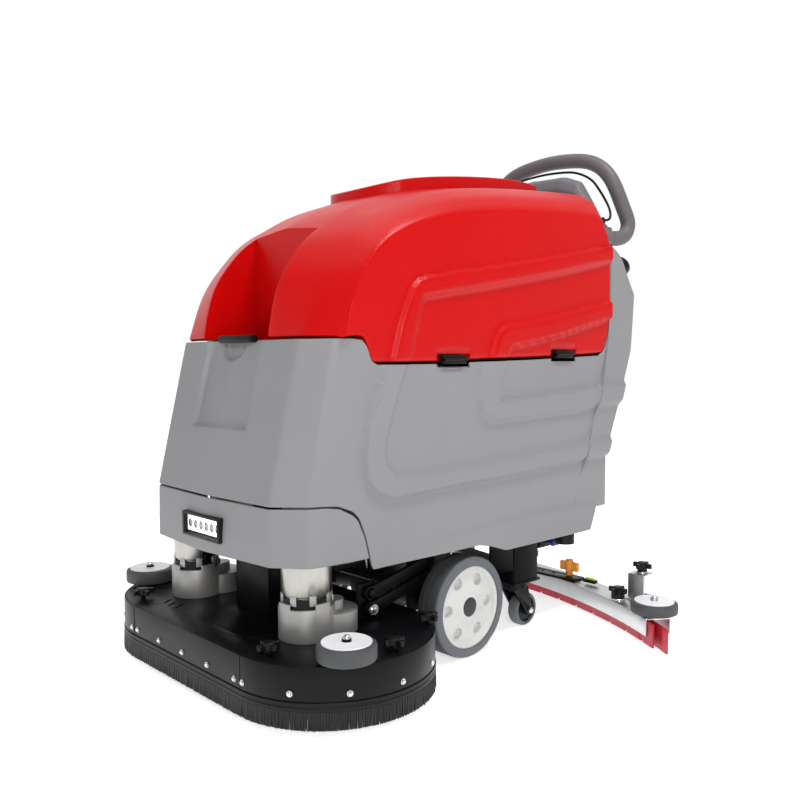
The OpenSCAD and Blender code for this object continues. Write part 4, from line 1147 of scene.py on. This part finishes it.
def skirtBristles():
    rng = np.random.default_rng(7)
    total = 2 * (2 * deck["brushX"] + math.pi * deck["radius"])
    places = []
    for row, inset in ((0, 0.5), (1, -1.3)):
        count = int(total / deck["pitch"])
        for k in range(count):
            (x, y), out = trackSpot((k + 0.5 * row + rng.uniform(-0.2, 0.2)) * total / count, inset)
            lean = Matrix.Rotation(rng.normal(0, 0.018), 4, "X") @ Matrix.Rotation(rng.normal(0, 0.018), 4,
                    "Y")
            tall = Matrix.Diagonal((1, 1, rng.uniform(0.96, 1.0), 1))
            spot = at(x, y, deck["bristleHigh"])
            places.append(Matrix.Translation(spot) @ lean @ tall)
    made = copies("skirtBristles", tuft(1.25, 1.05, deck["bristleHigh"] - deck["bristleLow"]), places)
    finish(made, "deck", finishes["bristle_black"], "bristle_black", "bristle_skirt")


# the ribbed strip that grips the bristles under the side band
def skirtStrip():
    profile = [(-6, 38), (-6, 54), (0.5, 54), (1.4, 52.6), (1.4, 49), (0.2, 47.6), (0.2, 45.6), (1.2, 44.2),
            (1.2, 39.6),
               (0.4, 38)]
    total = 2 * (2 * deck["brushX"] + math.pi * deck["radius"])
    around = 360

    def place(u, v):
        slot = np.rint(v * len(profile)).astype(int) % len(profile)
        spots = []
        for share, k in zip(u, slot):
            (x, y), _ = trackSpot(share * total, profile[k][0])
            spots.append((x, y, profile[k][1]))
        return spots

    made = gridPiece("skirtStrip", around, len(profile), place)
    settle(made, 30)
    finish(made, "deck", plastic, "black_plastic")


def scrubBrush(side, name):
    low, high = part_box(f"brush_{name}")
    centre = Vector(((low.x + high.x) / 2, (low.y + high.y) / 2, 0))
    body = f"brush_{name}"
    disc = [(0.1, 48), (60, 48), (66, 44), (160, 44), (167, 46), (168, 50), (168, 62), (166, 65.4),
            (160, 66), (62, 66),
            (60, 68), (60, 78), (58, 80), (14, 80), (14, 139), (0.1, 139)]
    finish(lathe(f"brushDisc{name.title()}", disc, centre, (0, 0, 1), 96), body, finishes["dark_casting"],
            "bristle_grey",
           f"brush_{name}")
    rng = np.random.default_rng(11 + side)
    places = []
    for radius, count in ((163, 132), (156, 118), (138, 90), (118, 76), (96, 60)):
        for k in range(count):
            angle = math.tau * (k + rng.uniform(-0.15, 0.15)) / count
            flare = 0.42 if radius > 150 else 0.1
            turn = Matrix.Rotation(angle, 4, "Z") @ Matrix.Rotation(-flare + rng.normal(0, 0.03), 4, "Y")
            spot = Vector((math.cos(angle) * radius * mm, math.sin(angle) * radius * mm, 45 * mm))
            places.append(Matrix.Translation(centre + spot) @ turn)
    made = copies(f"brushTufts{name.title()}", tuft(2.4, 3.6, 45, 6), places)
    co = np.empty(len(made.data.vertices) * 3)
    made.data.vertices.foreach_get("co", co)
    co = co.reshape(-1, 3)
    co[:, 2] = np.maximum(co[:, 2], 0.0002)
    away = co[:, :2] - np.array(centre[:2])
    reach = np.linalg.norm(away, axis=1)
    limit = (high.x - low.x) / 2 - 0.0028
    co[:, :2] = np.array(centre[:2]) + away * np.minimum(1, limit / np.maximum(reach, 1e-6))[:, None]
    made.data.vertices.foreach_set("co", co.ravel())
    finish(made, body, finishes["bristle_grey"], "bristle_grey")


def deckTrim():
    bolts = []
    for y in (0, 1):
        for i in range(-2, 3):
            bolts.append((at(i * 87.9, y * 2 * deck["radius"], 67.5), (0, 1 if y else -1, 0)))
    for side in (1, -1):
        for k in range(6):
            angle = math.radians(-87.5 + 29.3 * k)
            out = Vector((side * math.cos(angle), math.sin(angle), 0))
            centre = at(side * deck["brushX"], deck["radius"], 67.5)
            bolts.append((centre + out * deck["radius"] * mm, out))
    made = [lathe("bolt", [(0.1, 0.1), (5.2, 0.1), (5.2, 0.9), (3.9, 1.1), (3.9, 2.2), (3.2, 3.4), (1.8,
            3.9), (0.1, 3.9)], spot, out, 18)
            for spot, out in bolts]
    finish(joined("skirtBoltHeads", made), "deck", finishes["zinc_steel"], "zinc_steel", "deck_bolts")
    straps = []
    for x in (-deck["brushX"], deck["brushX"]):
        for y in (-0.7, 2 * deck["radius"] + 0.1):
            straps.append(softBox("bandJoint", (x - 0.8, y, 56), (x + 0.8, y + 0.6, 111), 0.2))
    finish(settle(joined("bandJoints", straps)), "deck", plastic, "black_plastic")
    for side in (1, -1):
        pin = [(0.1, 0), (11, 0), (11, 1.6), (10, 3.2), (8.6, 3.4), (8, 2.4), (6.5, 3.8), (3, 4.4),
                (0.1, 4.5)]
        spot = at(side * 205.5, 283, 130)
        made = lathe(f"linkPin{'Left' if side > 0 else 'Right'}", pin, spot, (side, 0, 0), 40)
        finish(made, "deck", finishes["zinc_steel"], "zinc_steel")


motorRadius = 45


# a black collar with the cooling windows, under each motor can
def motorTrim():
    low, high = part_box("brush_motors")
    for side, name in ((1, "Left"), (-1, "Right")):
        x = high.x / mm - motorRadius
        y = (low.y + high.y) / 2
        spot = Vector((side * x * mm, y, 0))
        collar = [(41.3, 168), (43.6, 168), (43.6, 186), (41.3, 186)]
        finish(lathe(f"motorCollar{name}", collar, spot, (0, 0, 1), 64), "deck", plastic, "black_plastic")
        posts = []
        for k in range(8):
            turn = Matrix.Rotation(math.tau * (k + 0.5) / 8, 4, "Z")
            post = softBox("post", (-6, 0, 176), (6, 3, 194), 0.6)
            post.data.transform(Matrix.Translation((0, -deckFront, 0)))
            post.data.transform(Matrix.Translation(spot) @ turn @ Matrix.Translation((0, 0.0425, 0)))
            posts.append(post)
        finish(settle(joined(f"motorPosts{name}", posts)), "deck", finishes["cast_aluminium"],
                "cast_aluminium")


print("brush deck")
skirtBristles()
skirtStrip()
for side, name in ((1, "left"), (-1, "right")):
    scrubBrush(side, name)
deckTrim()
motorTrim()
for node, width in (("deck_plate", 0.7), ("skirt_band", 0.7), ("gearcases", 1.6), ("brush_motors", 1.6),
        ("deck_column", 1.2),
                    ("lower_links", 1.2), ("upper_links", 1.2), ("chassis_frame", 0.8),
                    ("squeegee_arm", 1.4),
                    ("squeegee_bracket", 0.8), ("squeegee_channel", 0.7), ("suction_cuff", 0.8),
                    ("valve_lever", 1.6),
                    ("water_valve", 1.2), ("filler_cap", 2.0), ("console_panel", 1.0), ("key_switch", 0.8),
                    ("stop_button", 2.0), ("speed_dial", 1.6), ("lift_actuator", 0.8), ("actuator_rod", 0.6),
                    ("transaxle", 1.5), ("battery_pack", 3.0), ("vacuum_motor", 2.0)):
    withEdges(node, width)
for node in ("deck_knobs", "squeegee_knobs"):
    melted(node, 0.9, 6)
for name in ("left", "right"):
    melted(f"carrier_knob_{name}", 0.9, 8)


# ---- console, handle and hose
handleHalf = [(208, 1006, 901), (210, 1050, 901), (212, 1090, 903), (214, 1118, 911), (215, 1135, 929),
        (214, 1138, 952),
              (208, 1125, 985), (196, 1105, 1036), (178, 1100, 1068), (152, 1100, 1092), (118, 1100, 1109),
              (70, 1100, 1119), (0, 1100, 1124)]
bailHalf = [(210.5, 1032, 941), (210.5, 1058, 947), (204, 1074, 964), (188, 1086, 990), (166, 1082, 1028),
            (145, 1076, 1056), (110, 1072, 1076), (70, 1070, 1085), (0, 1070, 1089)]


def bothHalves(half):
    return [at(-x, y, z) for x, y, z in half] + [at(*p) for p in half[-2::-1]]


def consoleParts():
    dome = melted("console_housing", 3.4, 12)
    facing = Vector((0, math.sin(math.radians(65)), math.cos(math.radians(65))))
    for x, radius in ((-76, 10.5), (-34, 12.5), (76, 7.5)):
        cutBy(dome, softRod("controlCutter", at(x, 1093.5, 992) - facing * 6 * mm, facing, radius, 22, 0))
    grip = tube("handleLoop", bothHalves(handleHalf), 18.5 * mm, 10, 8)
    finish(grip, "chassis", finishes["handle_grip"], "handle_grip", "handle_loop")
    wire = tube("driveBail", bothHalves(bailHalf), 3 * mm, 4, 8)
    finish(wire, "drive_bail", paint, "painted_black", "drive_bail")
    ears = [softRod("bailEar", at(side * 210.5, 1030, 940), (1, 0, 0), 8.5, 6, 1) for side in (1, -1)]
    finish(joined("bailEars", ears), "drive_bail", paint, "painted_black")


# a ribbed hose from the cuff up into the tank's back
def suctionHose():
    path = [(0, 1003, 104), (0, 1003, 140), (0, 1004, 180), (0, 1006, 220), (0, 1009, 255), (0, 1012, 285),
            (0, 1012, 306),
            (0, 1004, 324), (0, 990, 330), (0, 972, 330)]
    line = np.array([tuple(p) for p in smoothLine([Vector(p) for p in path], 30)])
    rows = len(line) - 1

    def place(u, v):
        index = np.rint(u * rows).astype(int)
        before, after = np.maximum(index - 1, 0), np.minimum(index + 1, rows)
        along = line[after] - line[before]
        along /= np.linalg.norm(along, axis=1)[:, None]
        across = np.array([1.0, 0, 0])
        other = np.cross(along, across)
        radius = 17.4 + 1.5 * np.sin(index * 1.05)
        angle = v * math.tau
        return line[index] + radius[:, None] * (np.cos(angle)[:, None] * across + np.sin(angle)[:,
                None] * other)

    made = gridPiece("suctionHose", rows, 28, place)
    settle(made, 60)
    made.data.materials.append(finishes["hose_black"])
    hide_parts("suction_hose")
    at(0, 1003, 110)
    at(0, 1010, 300)
    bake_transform(made)


def squeegeeTrim():
    vial = softBox("levelBody", (228, 938, 62.5), (262, 952, 70), 1.2)
    finish(settle(vial), "squeegee", plastic, "black_plastic")
    glass = softRod("levelVial", at(245, 945, 70.5), (1, 0, 0), 4, 26, 1.5, 24)
    finish(glass, "squeegee", gloss("levelGreen", (0.35, 0.62, 0.03), 0.12), "lens")
    collars = []
    for side in (1, -1):
        collars.append(lathe("collar", [(5, 0), (16, 0), (16, 3), (14.5, 4.4), (14.5, 11), (12.5, 13), (5,
                13)],
                             at(side * 358, 886, 57.2), (0, 0, 1), 48))
        collars.append(lathe("collar", [(6.2, 0), (13, 0), (13, 2.4), (10.4, 3.4), (10.4, 6), (6.2, 6)],
                             at(side * 385, 944, 114.2), (0, 0, 1), 40))
    finish(joined("silverCollars", collars), "squeegee", finishes["zinc_steel"], "zinc_steel")


print("console, handle, hose and squeegee")
consoleParts()
suctionHose()
squeegeeTrim()
for node in ("front_blade", "rear_blade"):
    withEdges(node, 0.5)


# ---- stage, light and camera
def studio():
    deselect()
    bpy.ops.mesh.primitive_plane_add(size=40, location=(0, 0, 0))
    floor = named("floor")
    sheet = Finish("floorWhite", (0.93, 0.93, 0.93), 0.9, Emission_Strength=0.6)
    sheet.shader.inputs["Emission Color"].default_value = (1, 1, 1, 1)
    sheet.tone(sheet.noise(0.3), 0.01)
    floor.data.materials.append(sheet.material)
    world = bpy.data.worlds.new("studio")
    bpy.context.scene.world = world
    world.use_nodes = True
    sky = world.node_tree
    toward = sky.nodes.new("ShaderNodeTexCoord")
    aim = sky.nodes.new("ShaderNodeVectorMath")
    aim.operation = "DOT_PRODUCT"
    aim.inputs[1].default_value = (-0.7071, 0.7071, 0)
    ramp = sky.nodes.new("ShaderNodeMapRange")
    ramp.interpolation_type = "SMOOTHSTEP"
    for socket, value in (("From Min", 0.35), ("From Max", 0.86), ("To Min", 0.4), ("To Max", 1.0)):
        ramp.inputs[socket].default_value = value
    sky.links.new(toward.outputs["Generated"], aim.inputs[0])
    sky.links.new(aim.outputs["Value"], ramp.inputs["Value"])
    sky.links.new(ramp.outputs["Result"], sky.nodes["Background"].inputs["Strength"])
    sky.nodes["Background"].inputs["Color"].default_value = (1, 1, 1, 1)
    lights = {
        "keyLight": ((3.2, -2.6, 2.0), 0.7, 62, (1, 0.99, 0.97)),
        "sideLight": ((1.5, 0.3, 4.0), 0.7, 88, (1, 1, 1)),
        "topLight": ((-0.6, -0.2, 3.8), 2.0, 20, (1, 1, 1)),
        "leftLight": ((-2.2, -2.4, 1.6), 1.4, 5, (0.96, 0.98, 1)),
    }
    for name, (spot, size, power, colour) in lights.items():
        data = bpy.data.lights.new(name, "AREA")
        data.size = size
        data.energy = power
        data.color = colour
        made = bpy.data.objects.new(name, data)
        made.location = spot
        made.rotation_euler = (Vector((0, 0, 0.5)) - Vector(spot)).to_track_quat("-Z", "Y").to_euler()
        bpy.context.scene.collection.objects.link(made)
    view = bpy.context.scene.view_settings
    view.view_transform = "Standard"
    view.look = "None"


def camera():
    data = bpy.data.cameras.new("camera")
    data.lens = 36.97
    data.sensor_width = 36
    data.shift_x = -0.0255
    data.shift_y = 0.0149
    data.clip_end = 100
    made = bpy.data.objects.new("camera", data)
    made.location = (1.3491, -1.29715, 0.5978)
    made.rotation_euler = (math.radians(86.423), 0, math.radians(45.391))
    bpy.context.scene.collection.objects.link(made)
    bpy.context.scene.camera = made


studio()
camera()
